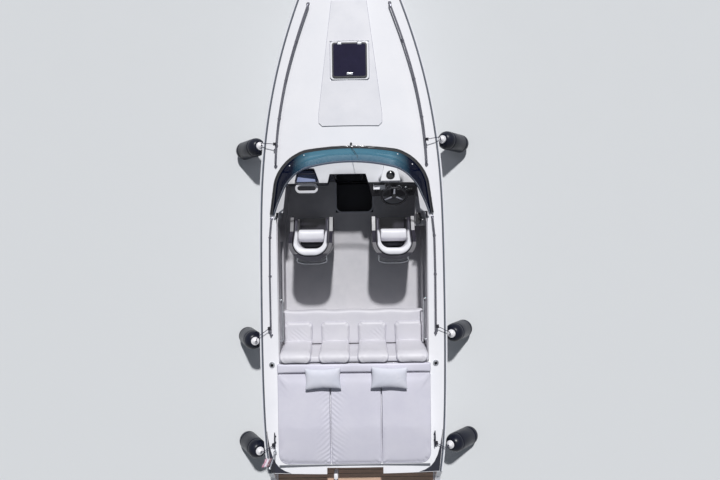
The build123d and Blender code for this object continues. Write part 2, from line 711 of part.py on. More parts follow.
def make_sunpad():
    rim = box((-COCKPIT_X + 2, COCKPIT_X - 2), (LID_Y[0] + 97, LID_Y[1] - 8), (640, LID_Z[0] - 1))
    rim = rim - box((-COCKPIT_X + 30, COCKPIT_X - 30), (LID_Y[0] + 125, LID_Y[1] - 36), (600, 900))
    keep("engine_bay_coaming", rim)
    lid = box((-LID_X, LID_X), LID_Y, LID_Z)
    ridge = box((-LID_X, LID_X), (SUNPAD_Y[1] + 4, LID_Y[1]), (LID_Z[0], 880))
    skirt = box((-LID_X, LID_X), LID_Y, (700, LID_Z[0] + 1))
    skirt = skirt - box((-LID_X + 9, LID_X - 9), (LID_Y[0] + 85, LID_Y[1] + 100), (600, 900))
    keep("sunpad_lid", lid + ridge + (skirt - deck_shell(-600, 6)))
    pads = []
    for left, right in zip(SUNPAD_SEAMS, SUNPAD_SEAMS[1:]):
        pads.append(box((left + PAD_GAP / 2, right - PAD_GAP / 2), SUNPAD_Y, (LID_Z[1] + 1, PAD_Z)))
    pads.append(box((-LID_X + 2, LID_X - 2), (SUNPAD_Y[1] + 8, LID_Y[1] - 2), (881, PAD_Z - 6)))
    keep("sunpad_cushions", *pads)
    pillow_z = (PAD_Z + 2, PAD_Z + 2 + PILLOW_THICK)
    keep("pillows", *[box(x, y, pillow_z) for x, y in PILLOWS])


def platform_slab(grow, low, high):
    aft, front = PLATFORM_Y[0] - grow, PLATFORM_Y[1]
    face = round_aft_outline(PLATFORM_X + grow, aft, front, PLATFORM_CORNER + grow)
    return Pos(0, 0, low) * extrude(face, amount=high - low, dir=(0, 0, 1))


def make_stern():
    front = PLATFORM_Y[1]
    slab = platform_slab(0, *PLATFORM_Z)
    wing = moved_outline(WING, front, 0)
    for side in (-1, 1):
        slab = slab + side_prism(wing, *sorted((side * WING_X[0], side * WING_X[1])))
    keep("swim_platform", slab)
    step = box((-NOTCH_X - 10, NOTCH_X + 10), (front + 0.5, NOTCH_Y + 10), (400, 900))
    step = step - box((-NOTCH_X, NOTCH_X), (front - 50, NOTCH_Y), (428, 1000)) - over_deck
    behind_deck = box((-NOTCH_X - 20, NOTCH_X + 20), (front - 20, TRANSOM_Y + 1), (760, 1000))
    keep("stern_step_well", step - behind_deck)
    teak = platform_slab(-70, PLATFORM_Z[1] + 0.5, PLATFORM_Z[1] + 8)
    keep("platform_teak", teak & box((-1100, 1100), (-4300, front - 14), (400, 500)))
    strip = platform_slab(14, 345, 385) - platform_slab(0.5, 300, 420)
    keep("platform_strip", strip - box((-1300, 1300), (front - 390, 0), (300, 500)))


def make_engine():
    block = box((-330, 330), (-3380, -2560), (-200, 520))
    for side in (-1, 1):
        block = block + (hull_cavity & side_box(side, (250, 340), (-3420, -2520), (-420, -195)))
    keep("engine_block", block)


def make_drive():
    plate = Rot(90, 0, 0) * extrude(RectangleRounded(380, 430, 60), amount=22)
    plate = Pos(0, TRANSOM_Y - 0.5, -70) * plate
    for z in (120, -215):
        plate = plate + box((-38, 38), (STEER_Y - 30, TRANSOM_Y - 10), (z, z + 26))
    keep("drive_mount", plate - Pos(0, STEER_Y, 0) * Cylinder(PIN_RADIUS + PIN_PLAY, 500))
    y, z = TILT_Y, TILT_Z
    ring = box((-98, 98), (STEER_Y - 18, STEER_Y + 18), (-180, 112))
    ring = ring - box((-66, 66), (STEER_Y - 40, STEER_Y + 40), (-145, 78))
    for side in (-1, 1):
        ring = ring + side_box(side, (66, 98), (y - 26, STEER_Y), (z - 26, z + 26))
        ring = ring + cylinder_between((side * 80, y, z), (side * 127, y, z), PIN_RADIUS)
    for low in (-206, 100):
        ring = ring + Pos(0, STEER_Y, low) * post(PIN_RADIUS, 38)
    keep("gimbal_ring", ring)
    housing = side_prism(moved_outline(HOUSING, y, z), -88, 88)
    leg = side_prism(moved_outline(LEG, y, z), -30, 30)
    fin = prism([(-95, y - 60), (95, y - 60), (120, y - 330), (-120, y - 330)], -372, -362)
    body = Pos(0, y - 143, PROP_Z) * Rot(90, 0, 0) * Cylinder(52, 206)
    nose = Cone(52, 12, 60, align=(Align.CENTER, Align.CENTER, Align.MIN))
    nose = Pos(0, y - 41, PROP_Z) * Rot(-90, 0, 0) * nose
    skeg = side_prism(moved_outline(SKEG, y, z), -8, 8)
    drive = housing + leg + fin + body + nose + skeg
    for side in (-1, 1):
        drive = drive + side_prism(moved_outline(SWIVEL, y, z), *sorted((side * 86, side * 128)))
        drive = drive - side_box(side, (60, 103), (y - ARM_ROOM, y + 60), (z - 60, z + 40))
        drive = drive - cylinder_between((side * 90, y, z), (side * 140, y, z), PIN_RADIUS + PIN_PLAY)
    shaft_end = PROP_Y - 46
    drive = drive + cylinder_between((0, y - 200, PROP_Z), (0, shaft_end - 14, PROP_Z), SHAFT_RADIUS)
    keep("drive_leg", drive)
    place = Pos(0, PROP_Y, PROP_Z)
    prop = place * Rot(90, 0, 0) * (Cylinder(44, 92) - Cylinder(SHAFT_RADIUS + PIN_PLAY, 100))
    blade = Rot(0, 0, 28) * Rot(90, 0, 0) * (Pos(0, 0, -4) * extrude(Ellipse(66, 78), amount=8))
    for angle in (90, 210, 330):
        prop = prop + place * Rot(0, angle, 0) * (Pos(0, 0, 112) * blade)
    keep("propeller", prop)


def ring_plate(centre, hole, outer, width):
    """Eye with its hole across the boat."""
    disc = Rot(0, 90, 0) * (Cylinder(outer, width) - Cylinder(hole, width + 10))
    return Pos(*centre) * disc


def make_eyes():
    bow = ring_plate((0, 3688, 400), 14, 26, 14)
    shank = box((-7, 7), (3600, 3668), (378, 422))
    bow = (bow + shank - Pos(0, 3688, 400) * Rot(0, 90, 0) * Cylinder(14, 30)) - outer_hull
    eyes = [bow]
    for side in (-1, 1):
        eye = ring_plate((side * 760, TRANSOM_Y - 42, 120), 14, 26, 14)
        foot = side_box(side, (735, 785), (TRANSOM_Y - 8, TRANSOM_Y - 0.5), (80, 160))
        neck = side_box(side, (753, 767), (TRANSOM_Y - 22, TRANSOM_Y - 6), (102, 138))
        eyes.append(eye + foot + neck)
    keep("towing_eyes", *eyes)


def make_fittings():
    cleats = []
    for side in (-1, 1):
        for x, y, lift in CLEATS:
            z = deck_z(x, y)
            bar = Rot(90, 0, 0) * Cylinder(10, CLEAT_LENGTH)
            for step in (-42, 42):
                bar = bar + Pos(0, step, -36) * post(7, 36)
            cleats.append(Pos(side * x, y, z + lift) * bar)
    keep("cleats", *cleats)
    holders = []
    slope = (deck_z(ROD_X + 40, ROD_Y) - deck_z(ROD_X - 40, ROD_Y)) / 80
    holder = Pos(0, 0, 8 - ROD_LENGTH) * post(ROD_TUBE, ROD_LENGTH)
    bore = Pos(0, 0, 14 - ROD_LENGTH) * post(ROD_BORE, ROD_LENGTH + 60)
    for side in (-1, 1):
        place = (side * ROD_X, ROD_Y, deck_z(ROD_X, ROD_Y))
        seat = Plane(origin=place, x_dir=(1, 0, side * slope), z_dir=(-side * slope, 0, 1))
        flange = seat * (Pos(0, 0, 2) * post(40, 7))
        holders.append(flange + rod_place(side) * holder - rod_place(side) * bore)
    keep("rod_holders", *holders)


def rail_line(side, rows, lift):
    points = []
    for y, x in rows:
        points.append((side * x, y, deck_z(x, y) + lift))
    return points


def make_rails():
    rails = []
    for side in (-1, 1):
        line = rail_line(side, BOW_RAIL, RAIL_LIFT)
        (x, y, z), (ex, ey, ez) = line[0], line[-1]
        fore = (x, y + 30, deck_z(abs(x), y + 30) + 7)
        aft = (ex, ey - 30, deck_z(abs(ex), ey - 30) + 7)
        rails.append(tube([fore, (x, y + 22, z - 14)] + line + [(ex, ey - 22, ez - 14), aft], 12.5))
        for x, y, z in line[1:-1]:
            rails[-1] = rails[-1] + cylinder_between((x, y, z - 6), (x, y, z - RAIL_LIFT + 7), 8)
        line = rail_line(side, SIDE_RAIL, SIDE_RAIL_LIFT)
        (x, y, z), (ex, ey, ez) = line[0], line[-1]
        fore = (x, y + 22, deck_z(abs(x), y + 22) + 7)
        aft = (ex, ey - 22, deck_z(abs(ex), ey - 22) + 7)
        rails.append(tube([fore] + line + [aft], 11, 12))
        for x, y, z in line[1:-1]:
            rails[-1] = rails[-1] + cylinder_between((x, y, z - 6), (x, y, z - SIDE_RAIL_LIFT + 7), 8)
        wall, z = COCKPIT_X - LINER_WALL - 1, COCKPIT_RAIL_Z
        plan = [(wall, COCKPIT_RAIL_Y[1]), (wall - 38, COCKPIT_RAIL_Y[1]),
                (wall - 38, COCKPIT_RAIL_Y[0]), (wall, COCKPIT_RAIL_Y[0])]
        rails.append(tube([(side * x, y, z) for x, y in plan], 9, 14))
    keep("hand_rails", *rails)
    foot = Pos(5, 732, deck_z(5, 732) + 3) * post(15, 18)
    keep("wiper", foot + tube([(5, 728, 1064), (12, 668, 1118), (100, 513, 1322)], 5))


def fender_frame(f):
    lean = radians(f.lean)
    up = Vector(-f.side * sin(lean), 0, cos(lean))
    low = Vector(f.side * (f.top_x + (FENDER_LENGTH - FENDER_RADIUS) * sin(lean)), f.y, FLOAT_Z)
    return low, up


def fender_body(low, up):
    """Float from its lower centre up, each end closed by rings of cone."""
    ring = [(FENDER_RADIUS * cos(radians(a)), FENDER_RADIUS * sin(radians(a))) for a in range(0, 91, 18)]
    reach = FENDER_LENGTH - 2 * FENDER_RADIUS
    profile = [(x, reach + z) for x, z in ring] + [(x, -z) for x, z in reversed(ring)]
    solid = revolve(Plane.XZ * make_face(Polyline(*profile, close=True)), Axis.Z)
    return solid.moved(Plane(low, z_dir=up).location)


def make_fenders():
    bodies, caps, lines = [], [], []
    for f in FENDERS:
        low, up = fender_frame(f)
        high = low + up * (FENDER_LENGTH - 2 * FENDER_RADIUS)
        body = fender_body(low, up)
        crown = high + up * (FENDER_RADIUS - 22)
        bodies.append(body - cylinder_between(crown, crown + up * 52, 58))
        caps.append(cylinder_between(crown + up * 0.5, crown + up * 52, 57.5))
        end = crown + up * 56
        edge_y = (f.knot_y + f.y) / 2
        edge_x = station_value(edge_y, "sheer_x") + 60
        edge_z = station_value(edge_y, "sheer_z") + 62
        knot = (f.side * f.knot_x, f.knot_y, f.knot_z)
        lines.append(tube([knot, (f.side * edge_x, edge_y, edge_z), (end.X, end.Y, end.Z)], LINE_RADIUS))
    keep("fenders", *bodies)
    keep("fender_caps", *caps)
    keep("fender_lines", *lines)


def make_flag():
    x, y = FLAG_X, FLAG_Y
    z = deck_z(-x, y)
    staff = cylinder_between((x, y, z + 10), (x, y - 40, z + 440), 9) + Pos(x, y - 40, z + 446) * Sphere(14)
    foot = Pos(x, y, z + 2) * post(22, 40)
    keep("flag_staff", staff + foot)
    keep("flag", box((x - 112, x - 22), (y - 46, y - 20), (z + 160, z + 420)))


def make_model():
    make_hull()
    make_deck()
    make_hatch()
    make_locker()
    make_rub_rail()
    make_liner()
    make_well()
    make_cabin()
    make_windshield()
    make_dash()
    make_wheel()
    make_seats()
    make_bench()
    make_sunpad()
    make_stern()
    make_engine()
    make_drive()
    make_eyes()
    make_fittings()
    make_rails()
    make_fenders()
    make_flag()


make_model()
os.makedirs("parts", exist_ok=True)
for name, shape in PARTS.items():
    export_step(shape, f"parts/{name}.step")
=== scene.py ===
# Sport boat with a cuddy cabin, seen from above. Metres; +Y bow, +X starboard, +Z up, water at z = 0.
import math

import bmesh
import bpy
from mathutils import Matrix, Vector, noise


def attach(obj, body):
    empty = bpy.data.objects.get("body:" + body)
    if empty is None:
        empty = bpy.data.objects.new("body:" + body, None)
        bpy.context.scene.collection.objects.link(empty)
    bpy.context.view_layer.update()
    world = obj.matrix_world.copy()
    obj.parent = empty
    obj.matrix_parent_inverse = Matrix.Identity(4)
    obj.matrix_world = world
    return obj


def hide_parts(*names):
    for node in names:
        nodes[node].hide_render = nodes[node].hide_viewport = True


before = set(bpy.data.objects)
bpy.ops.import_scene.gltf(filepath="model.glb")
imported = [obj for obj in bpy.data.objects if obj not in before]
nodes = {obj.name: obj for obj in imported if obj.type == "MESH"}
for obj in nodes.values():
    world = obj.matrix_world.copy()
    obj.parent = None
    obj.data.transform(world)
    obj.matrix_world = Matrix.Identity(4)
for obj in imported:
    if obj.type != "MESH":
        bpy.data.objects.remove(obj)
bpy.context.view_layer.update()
scene = bpy.context.scene
print("frame loaded:", len(nodes), "nodes")

# camera straight above, as in the photograph
cameraSetup = {"place": (0.105, -0.528, 8.0), "lens": 26.6, "sensor": 36.0, "turn": -0.0134, "far": 100}


def addCamera():
    data = bpy.data.cameras.new("camera")
    data.lens = cameraSetup["lens"]
    data.sensor_width = cameraSetup["sensor"]
    data.clip_end = cameraSetup["far"]
    camera = bpy.data.objects.new("camera", data)
    camera.location = cameraSetup["place"]
    camera.rotation_euler = (0, 0, cameraSetup["turn"])
    scene.collection.objects.link(camera)
    scene.camera = camera


addCamera()


# materials
def paint(red, green, blue):  # screen values 0 to 255, by the sRGB curve
    linear = []
    for value in (red, green, blue):
        share = value / 255
        linear.append(share / 12.92 if share <= 0.04045 else ((share + 0.055) / 1.055) ** 2.4)
    return (*linear, 1.0)


def addNode(tree, kind, **values):  # capitalised names are sockets, the others are settings
    node = tree.nodes.new(kind)
    for key, value in values.items():
        if key[0].isupper():
            node.inputs[key.replace("_", " ")].default_value = value
        else:
            setattr(node, key, value)
    return node


# what a look has when it doesn't say otherwise
plainLook = {"metal": 0.0, "coat": 0.0, "coatRough": 0.1, "sheen": 0.0, "specular": 0.5, "alpha": 1.0,
             "grain": "cloud", "grainStrength": 0.3, "grainDepth": 0.0006, "roughSpread": 0.06}
shaderSockets = {"Metallic": "metal", "Roughness": "rough", "Coat Weight": "coat", "Coat Roughness": "coatRough",
                 "Sheen Weight": "sheen", "Specular IOR Level": "specular", "Alpha": "alpha"}


def startFinish(name, look):
    material = bpy.data.materials.new(name)
    material.use_nodes = True
    tree = material.node_tree
    shader = tree.nodes["Principled BSDF"]
    shader.inputs["Base Color"].default_value = look["colour"]
    for socket, key in shaderSockets.items():
        shader.inputs[socket].default_value = {**plainLook, **look}[key]
    coords = tree.nodes.new("ShaderNodeTexCoord")
    return material, tree, shader, coords.outputs["Object"]


def mixColours(tree, factor, first, second):
    mix = tree.nodes.new("ShaderNodeMix")
    mix.data_type = "RGBA"
    for socket, value in ((mix.inputs[0], factor), (mix.inputs[6], first), (mix.inputs[7], second)):
        if isinstance(value, bpy.types.NodeSocket):
            tree.links.new(value, socket)
        else:
            socket.default_value = value
    return mix.outputs[2]


def ramp(tree, source, low, high, toLow=0.0, toHigh=1.0):
    node = tree.nodes.new("ShaderNodeMapRange")
    node.inputs["From Min"].default_value = low
    node.inputs["From Max"].default_value = high
    node.inputs["To Min"].default_value = toLow
    node.inputs["To Max"].default_value = toHigh
    tree.links.new(source, node.inputs["Value"])
    return node.outputs["Result"]


def reckon(tree, kind, first, second=0.0):
    node = tree.nodes.new("ShaderNodeMath")
    node.operation = kind
    for socket, value in zip(node.inputs, (first, second)):
        if isinstance(value, bpy.types.NodeSocket):
            tree.links.new(value, socket)
        else:
            socket.default_value = value
    return node.outputs[0]


def addNoise(tree, place, kind="Noise", **values):
    texture = addNode(tree, f"ShaderNodeTex{kind}", **values)
    tree.links.new(place, texture.inputs["Vector"])
    return texture


def addGrain(tree, shader, place, look):
    # fine relief of the surface: a cloud, cells as in leather, or a weave
    look = {**plainLook, **look}
    if look["grain"] == "cells":
        height = addNoise(tree, place, "Voronoi", Scale=look["grainScale"]).outputs["Distance"]
    elif look["grain"] == "weave":
        across = addNoise(tree, place, "Wave", Scale=look["grainScale"], bands_direction="X")
        along = addNoise(tree, place, "Wave", Scale=look["grainScale"], bands_direction="Y")
        height = reckon(tree, "MULTIPLY", across.outputs["Fac"], along.outputs["Fac"])
    else:
        height = addNoise(tree, place, Scale=look["grainScale"], Detail=4.0).outputs["Fac"]
    bump = addNode(tree, "ShaderNodeBump", Strength=look["grainStrength"], Distance=look["grainDepth"])
    tree.links.new(height, bump.inputs["Height"])
    tree.links.new(bump.outputs["Normal"], shader.inputs["Normal"])


def makeFinish(name, look):
    material, tree, shader, place = startFinish(name, look)
    drift = addNoise(tree, place, Scale=look["driftScale"], Detail=5.0, Roughness=0.6).outputs["Fac"]
    share = ramp(tree, drift, 0.3, 0.7)
    tree.links.new(mixColours(tree, share, look["colour"], look["second"]), shader.inputs["Base Color"])
    smoothest, roughest = look["rough"] - plainLook["roughSpread"], look["rough"] + plainLook["roughSpread"]
    tree.links.new(ramp(tree, drift, 0.25, 0.75, smoothest, roughest), shader.inputs["Roughness"])
    if "grainScale" in look:
        addGrain(tree, shader, place, look)
    return material


leather = {"grain": "cells", "grainScale": 520.0, "grainDepth": 0.0005, "grainStrength": 0.35}
softLeather = {"sheen": 0.15, **leather}
skin = {"grain": "cells", "grainDepth": 0.0004, "grainStrength": 0.4}
# colour, second colour, roughness, scale of the slow drift between the two colours, and what else differs
lookTable = {
    "whiteGelcoat": ((246, 245, 249), (239, 239, 244), 0.22, 1.6, {"coat": 0.4}),
    "deckNonSkid": ((232, 231, 236), (224, 224, 230), 0.62, 3.0,
                    {"grainScale": 420.0, "grainDepth": 0.0008, "grainStrength": 0.6}),
    "floorLiner": ((200, 198, 202), (189, 188, 193), 0.5, 4.0, {"grainScale": 300.0, "grainStrength": 0.5}),
    "blackRubber": ((22, 22, 26), (34, 34, 38), 0.5, 9.0, {"grainScale": 160.0}),
    "stainlessSteel": ((205, 207, 211), (182, 185, 190), 0.16, 14.0, {"metal": 1.0}),
    "blackFrame": ((20, 21, 27), (30, 31, 38), 0.35, 12.0, {"grainScale": 700.0, "grainDepth": 0.0002}),
    "hatchGlass": ((22, 17, 48), (30, 26, 58), 0.08, 5.0,
                   {"coat": 0.2, "coatRough": 0.03, "specular": 0.25, "alpha": 0.93}),
    "doorPanel": ((14, 15, 24), (22, 24, 36), 0.12, 3.0, {"coat": 0.6}),
    # helm console: partly a black dash panel, partly painted shade under the windshield and dash
    "dashBlack": ((18, 18, 24), (30, 30, 38), 0.45, 5.0, {"grainScale": 420.0, **skin}),
    "railWhite": ((236, 236, 240), (224, 225, 231), 0.35, 3.0, {}),
    "darkSteel": ((70, 72, 82), (48, 50, 60), 0.3, 20.0, {"metal": 0.7}),
    "brushedSteel": ((176, 178, 184), (150, 153, 160), 0.32, 40.0, {"metal": 1.0}),
    "wheelLeather": ((26, 26, 31), (40, 40, 46), 0.5, 20.0, {"grainScale": 700.0, **skin}),
    "varnishedPly": ((176, 140, 98), (150, 114, 76), 0.45, 8.0, {}),
    "benchVinyl": ((208, 206, 212), (200, 198, 206), 0.5, 3.0, softLeather),
    "seatVinyl": ((224, 223, 228), (214, 213, 220), 0.45, 5.0, softLeather),
    "darkVinyl": ((52, 52, 62), (40, 40, 50), 0.5, 5.0, leather),
    "sunpadVinyl": ((216, 214, 225), (208, 206, 219), 0.5, 3.5, softLeather),
    "pillowCloth": ((217, 217, 227), (206, 208, 220), 0.75, 6.0,
                    {"sheen": 0.3, "grain": "weave", "grainScale": 240.0, "grainStrength": 0.5}),
    "seatShell": ((44, 42, 51), (58, 56, 66), 0.36, 6.0, {"coat": 0.15}),
    "railSteel": ((128, 127, 136), (100, 100, 110), 0.28, 14.0, {"metal": 0.9}),
    "darkRope": ((58, 56, 76), (42, 40, 58), 0.8, 60.0, {}),
    "blackRope": ((22, 21, 30), (34, 33, 44), 0.8, 60.0, {}),
    "rubRailGrey": ((98, 103, 114), (84, 89, 100), 0.5, 9.0, {"grainScale": 160.0}),
    # cabin bulkhead: dark navy that paints the shade under the dash and windshield
    "bulkheadPaintedShade": ((30, 32, 46), (40, 42, 58), 0.4, 5.0, {"coat": 0.2}),
    "blackPlastic": ((24, 24, 28), (36, 36, 40), 0.42, 15.0, {"grainScale": 600.0}),
    "enginePaint": ((70, 73, 78), (52, 54, 60), 0.5, 8.0, {"grainScale": 90.0}),
    "drivePaint": ((48, 50, 54), (36, 38, 42), 0.35, 7.0, {"coat": 0.3}),
    "propellerSteel": ((170, 173, 178), (140, 144, 150), 0.22, 16.0, {"metal": 1.0}),
    "fenderVinyl": ((10, 13, 26), (18, 22, 38), 0.32, 9.0,
                    {"specular": 0.25, "grainScale": 260.0, "grainDepth": 0.0003}),
    "fenderCap": ((237, 235, 237), (222, 221, 225), 0.4, 18.0, {}),
    "whiteRope": ((214, 214, 216), (188, 189, 194), 0.8, 60.0, {}),
    # dark navy: strips at the stern corners, the trim round the tray, and the painted shade lines of the compass pod
    "darkNavy": ((12, 13, 30), (20, 22, 44), 0.3, 6.0, {"coat": 0.4}),
    "glossBlack": ((14, 14, 19), (24, 24, 31), 0.24, 11.0, {"coat": 0.8, "coatRough": 0.12}),
    # blue-grey tray mat: painted bluish shade
    "trayPaintedShade": ((160, 172, 206), (146, 158, 196), 0.85, 8.0, {"grain": "weave", "grainScale": 300.0}),
    # grey of the foredeck panel groove, and of the painted shadow line round the hatch
    "grooveAndShadowGrey": ((186, 186, 197), (168, 168, 181), 0.6, 12.0, {}),
    "pipingGrey": ((190, 188, 200), (176, 175, 188), 0.55, 20.0, {}),
    "screenEdge": ((62, 74, 94), (48, 58, 78), 0.25, 12.0, {"coat": 0.4}),
    "lensPort": ((150, 22, 26), (128, 16, 20), 0.12, 20.0, {"coat": 0.8}),
    "lensStarboard": ((18, 122, 62), (14, 104, 52), 0.12, 20.0, {"coat": 0.8}),
}
finishes = {}
for name, (colour, second, rough, driftScale, others) in lookTable.items():
    finishes[name] = makeFinish(name, {"colour": paint(*colour), "second": paint(*second), "rough": rough,
                                       "driftScale": driftScale, **others})


def startDrifted(name, look, scale, detail):
    # a finish that also has the axes of a place and a slow noise for its tints
    material, tree, shader, place = startFinish(name, look)
    axes = tree.nodes.new("ShaderNodeSeparateXYZ")
    tree.links.new(place, axes.inputs[0])
    drift = addNoise(tree, place, Scale=scale, Detail=detail).outputs["Fac"]
    return material, tree, shader, place, axes.outputs, drift


def twoTone(tree, factor, first, second):
    return mixColours(tree, factor, paint(*first), paint(*second))


def hullFinish():
    # white topsides, a thin dark boot stripe and dark antifouling from a hand's width over the water down
    look = {"colour": paint(238, 237, 242), "rough": 0.2, "coat": 0.5}
    levels = {"stripeTop": 0.105, "stripeFoot": 0.055}
    material, tree, shader, place, axes, drift = startDrifted("hullPaint", look, 1.4, 5.0)
    share = ramp(tree, drift, 0.3, 0.7)
    white = twoTone(tree, share, (238, 237, 242), (229, 229, 236))
    dark = twoTone(tree, share, (24, 29, 44), (34, 40, 56))
    above = reckon(tree, "GREATER_THAN", axes[2], levels["stripeTop"])
    below = reckon(tree, "LESS_THAN", axes[2], levels["stripeFoot"])
    lower = mixColours(tree, below, paint(16, 17, 24), dark)
    tree.links.new(mixColours(tree, above, lower, white), shader.inputs["Base Color"])
    tree.links.new(ramp(tree, above, 0.0, 1.0, 0.55, look["rough"]), shader.inputs["Roughness"])
    return material


def screenGlass():
    # tinted acrylic whose colours are partly painted reflection: a lighter teal middle pane, darker towards its top,
    # and near-black navy wrapped sides that paint the dark reflection of the water
    look = {"colour": paint(96, 140, 158), "rough": 0.12, "alpha": 0.6, "ior": 1.07, "sides": (0.52, 0.76),
            "top": (1.16, 1.34), "cover": (0.68, 0.97), "shadow": 0.12}
    material, tree, shader, place, axes, drift = startDrifted("screenGlass", look, 2.5, 2.0)
    shader.inputs["IOR"].default_value = look["ior"]
    turn = ramp(tree, reckon(tree, "ABSOLUTE", axes[0]), *look["sides"])
    # teal middle: tint and a painted reflection of the sky
    middle = twoTone(tree, drift, (62, 108, 130), (86, 130, 148))
    middle = mixColours(tree, ramp(tree, axes[2], *look["top"]), middle, paint(30, 78, 102))
    # near-black navy sides: tint and a painted dark reflection
    tree.links.new(mixColours(tree, turn, middle, paint(5, 12, 34)), shader.inputs["Base Color"])
    cover = ramp(tree, turn, 0.0, 1.0, *look["cover"])
    paths = tree.nodes.new("ShaderNodeLightPath")  # the dash under it stays sunlit
    thin = ramp(tree, paths.outputs["Is Shadow Ray"], 0.0, 1.0, 1.0, look["shadow"])
    tree.links.new(reckon(tree, "MULTIPLY", cover, thin), shader.inputs["Alpha"])
    return material


def teakFinish():
    # planks across the platform with dark caulk lines between them
    look = {"colour": paint(196, 160, 138), "rough": 0.6}
    planks = {"width": 0.055, "caulk": 0.006, "stretch": (3.0, 60.0, 20.0), "worn": 0.45}
    material, tree, shader, place = startFinish("teakPlanks", look)
    axes = tree.nodes.new("ShaderNodeSeparateXYZ")
    tree.links.new(place, axes.inputs[0])
    steps = reckon(tree, "DIVIDE", axes.outputs[1], planks["width"])
    line = reckon(tree, "LESS_THAN", reckon(tree, "FRACT", steps), planks["caulk"] / planks["width"])
    tint = addNode(tree, "ShaderNodeTexWhiteNoise", noise_dimensions="1D")
    tree.links.new(reckon(tree, "FLOOR", steps), tint.inputs["W"])
    stretch = addNode(tree, "ShaderNodeMapping", Scale=planks["stretch"])
    tree.links.new(place, stretch.inputs["Vector"])
    grain = addNoise(tree, stretch.outputs["Vector"], Scale=4.0, Detail=6.0, Roughness=0.65).outputs["Fac"]
    wood = twoTone(tree, grain, (222, 190, 168), (178, 140, 116))
    wear = ramp(tree, tint.outputs["Value"], 0.0, 1.0, 0.0, planks["worn"])
    worn = mixColours(tree, wear, wood, paint(205, 178, 160))
    tree.links.new(mixColours(tree, line, worn, paint(40, 34, 32)), shader.inputs["Base Color"])
    bump = addNode(tree, "ShaderNodeBump", Strength=0.5, Distance=0.0012)
    tree.links.new(reckon(tree, "SUBTRACT", grain, line), bump.inputs["Height"])
    tree.links.new(bump.outputs["Normal"], shader.inputs["Normal"])
    return material


def seatCoverFinish():
    # white over the back and the inner arms, dark at the front and on the outside of the arms
    look = {"colour": paint(224, 223, 228), "rough": 0.45, **softLeather, "seatMiddle": 0.5595,
            "armSide": (0.213, 0.219), "armFrom": (-0.60, -0.56), "front": (-0.42, -0.385)}
    material, tree, shader, place, axes, drift = startDrifted("seatCover", look, 5.0, 4.0)
    fromSeat = reckon(tree, "SUBTRACT", reckon(tree, "ABSOLUTE", axes[0]), look["seatMiddle"])
    outside = ramp(tree, reckon(tree, "ABSOLUTE", fromSeat), *look["armSide"])
    arm = reckon(tree, "MULTIPLY", ramp(tree, axes[1], *look["armFrom"]), outside)
    arm = reckon(tree, "MAXIMUM", arm, ramp(tree, axes[1], *look["front"]))
    white = twoTone(tree, drift, (226, 225, 230), (214, 213, 220))
    grey = twoTone(tree, drift, (64, 62, 74), (52, 50, 62))
    tree.links.new(mixColours(tree, arm, white, grey), shader.inputs["Base Color"])
    addGrain(tree, shader, place, look)
    return material


def wellFinish():
    # dark inside the well is painted shade of its depth, pale rim along the floor
    look = {"colour": paint(16, 17, 26), "rough": 0.7, "grainScale": 380.0, "grainDepth": 0.001, "grainStrength": 0.5,
            "rimHeight": 0.0805}
    material, tree, shader, place, axes, drift = startDrifted("wellLining", look, 6.0, 5.0)
    # dark: painted shade in the well
    dark = twoTone(tree, drift, (14, 15, 24), (28, 30, 44))
    pale = twoTone(tree, drift, (206, 205, 212), (192, 192, 200))
    rim = reckon(tree, "GREATER_THAN", axes[2], look["rimHeight"])
    tree.links.new(mixColours(tree, rim, dark, pale), shader.inputs["Base Color"])
    addGrain(tree, shader, place, look)
    return material


def consoleFinish():
    # white grab rail; the dark navy face ahead of it is painted shade cast by the dash
    look = {"colour": paint(246, 245, 249), "rough": 0.3, "coat": 0.3, "railFront": 0.234}
    material, tree, shader, place, axes, drift = startDrifted("portConsole", look, 6.0, 4.0)
    white = twoTone(tree, drift, (246, 245, 249), (236, 236, 241))
    # dark navy: painted shade on the console's face
    dark = twoTone(tree, drift, (40, 42, 56), (50, 52, 68))
    rail = reckon(tree, "LESS_THAN", axes[1], look["railFront"])
    tree.links.new(mixColours(tree, rail, dark, white), shader.inputs["Base Color"])
    return material


def flagFinish():
    # broad bands of maroon, white and pink across the folded cloth
    look = {"colour": paint(232, 226, 232), "rough": 0.8, "sheen": 0.3, "grain": "weave", "grainScale": 420.0,
            "grainDepth": 0.0005, "grainStrength": 0.5, "pinkFrom": -1.168, "maroonFrom": -1.138}
    material, tree, shader, place, axes, drift = startDrifted("flagCloth", look, 9.0, 4.0)
    white = twoTone(tree, drift, (236, 232, 238), (220, 214, 224))
    pink = twoTone(tree, drift, (214, 160, 180), (196, 140, 164))
    maroon = twoTone(tree, drift, (128, 44, 74), (106, 34, 62))
    outer = reckon(tree, "LESS_THAN", axes[0], look["pinkFrom"])
    inner = reckon(tree, "GREATER_THAN", axes[0], look["maroonFrom"])
    bands = mixColours(tree, inner, mixColours(tree, outer, white, pink), maroon)
    tree.links.new(bands, shader.inputs["Base Color"])
    addGrain(tree, shader, place, look)
    return material


for makeSpecial in (consoleFinish, wellFinish, flagFinish, seatCoverFinish, hullFinish, screenGlass, teakFinish):
    special = makeSpecial()
    finishes[special.name] = special

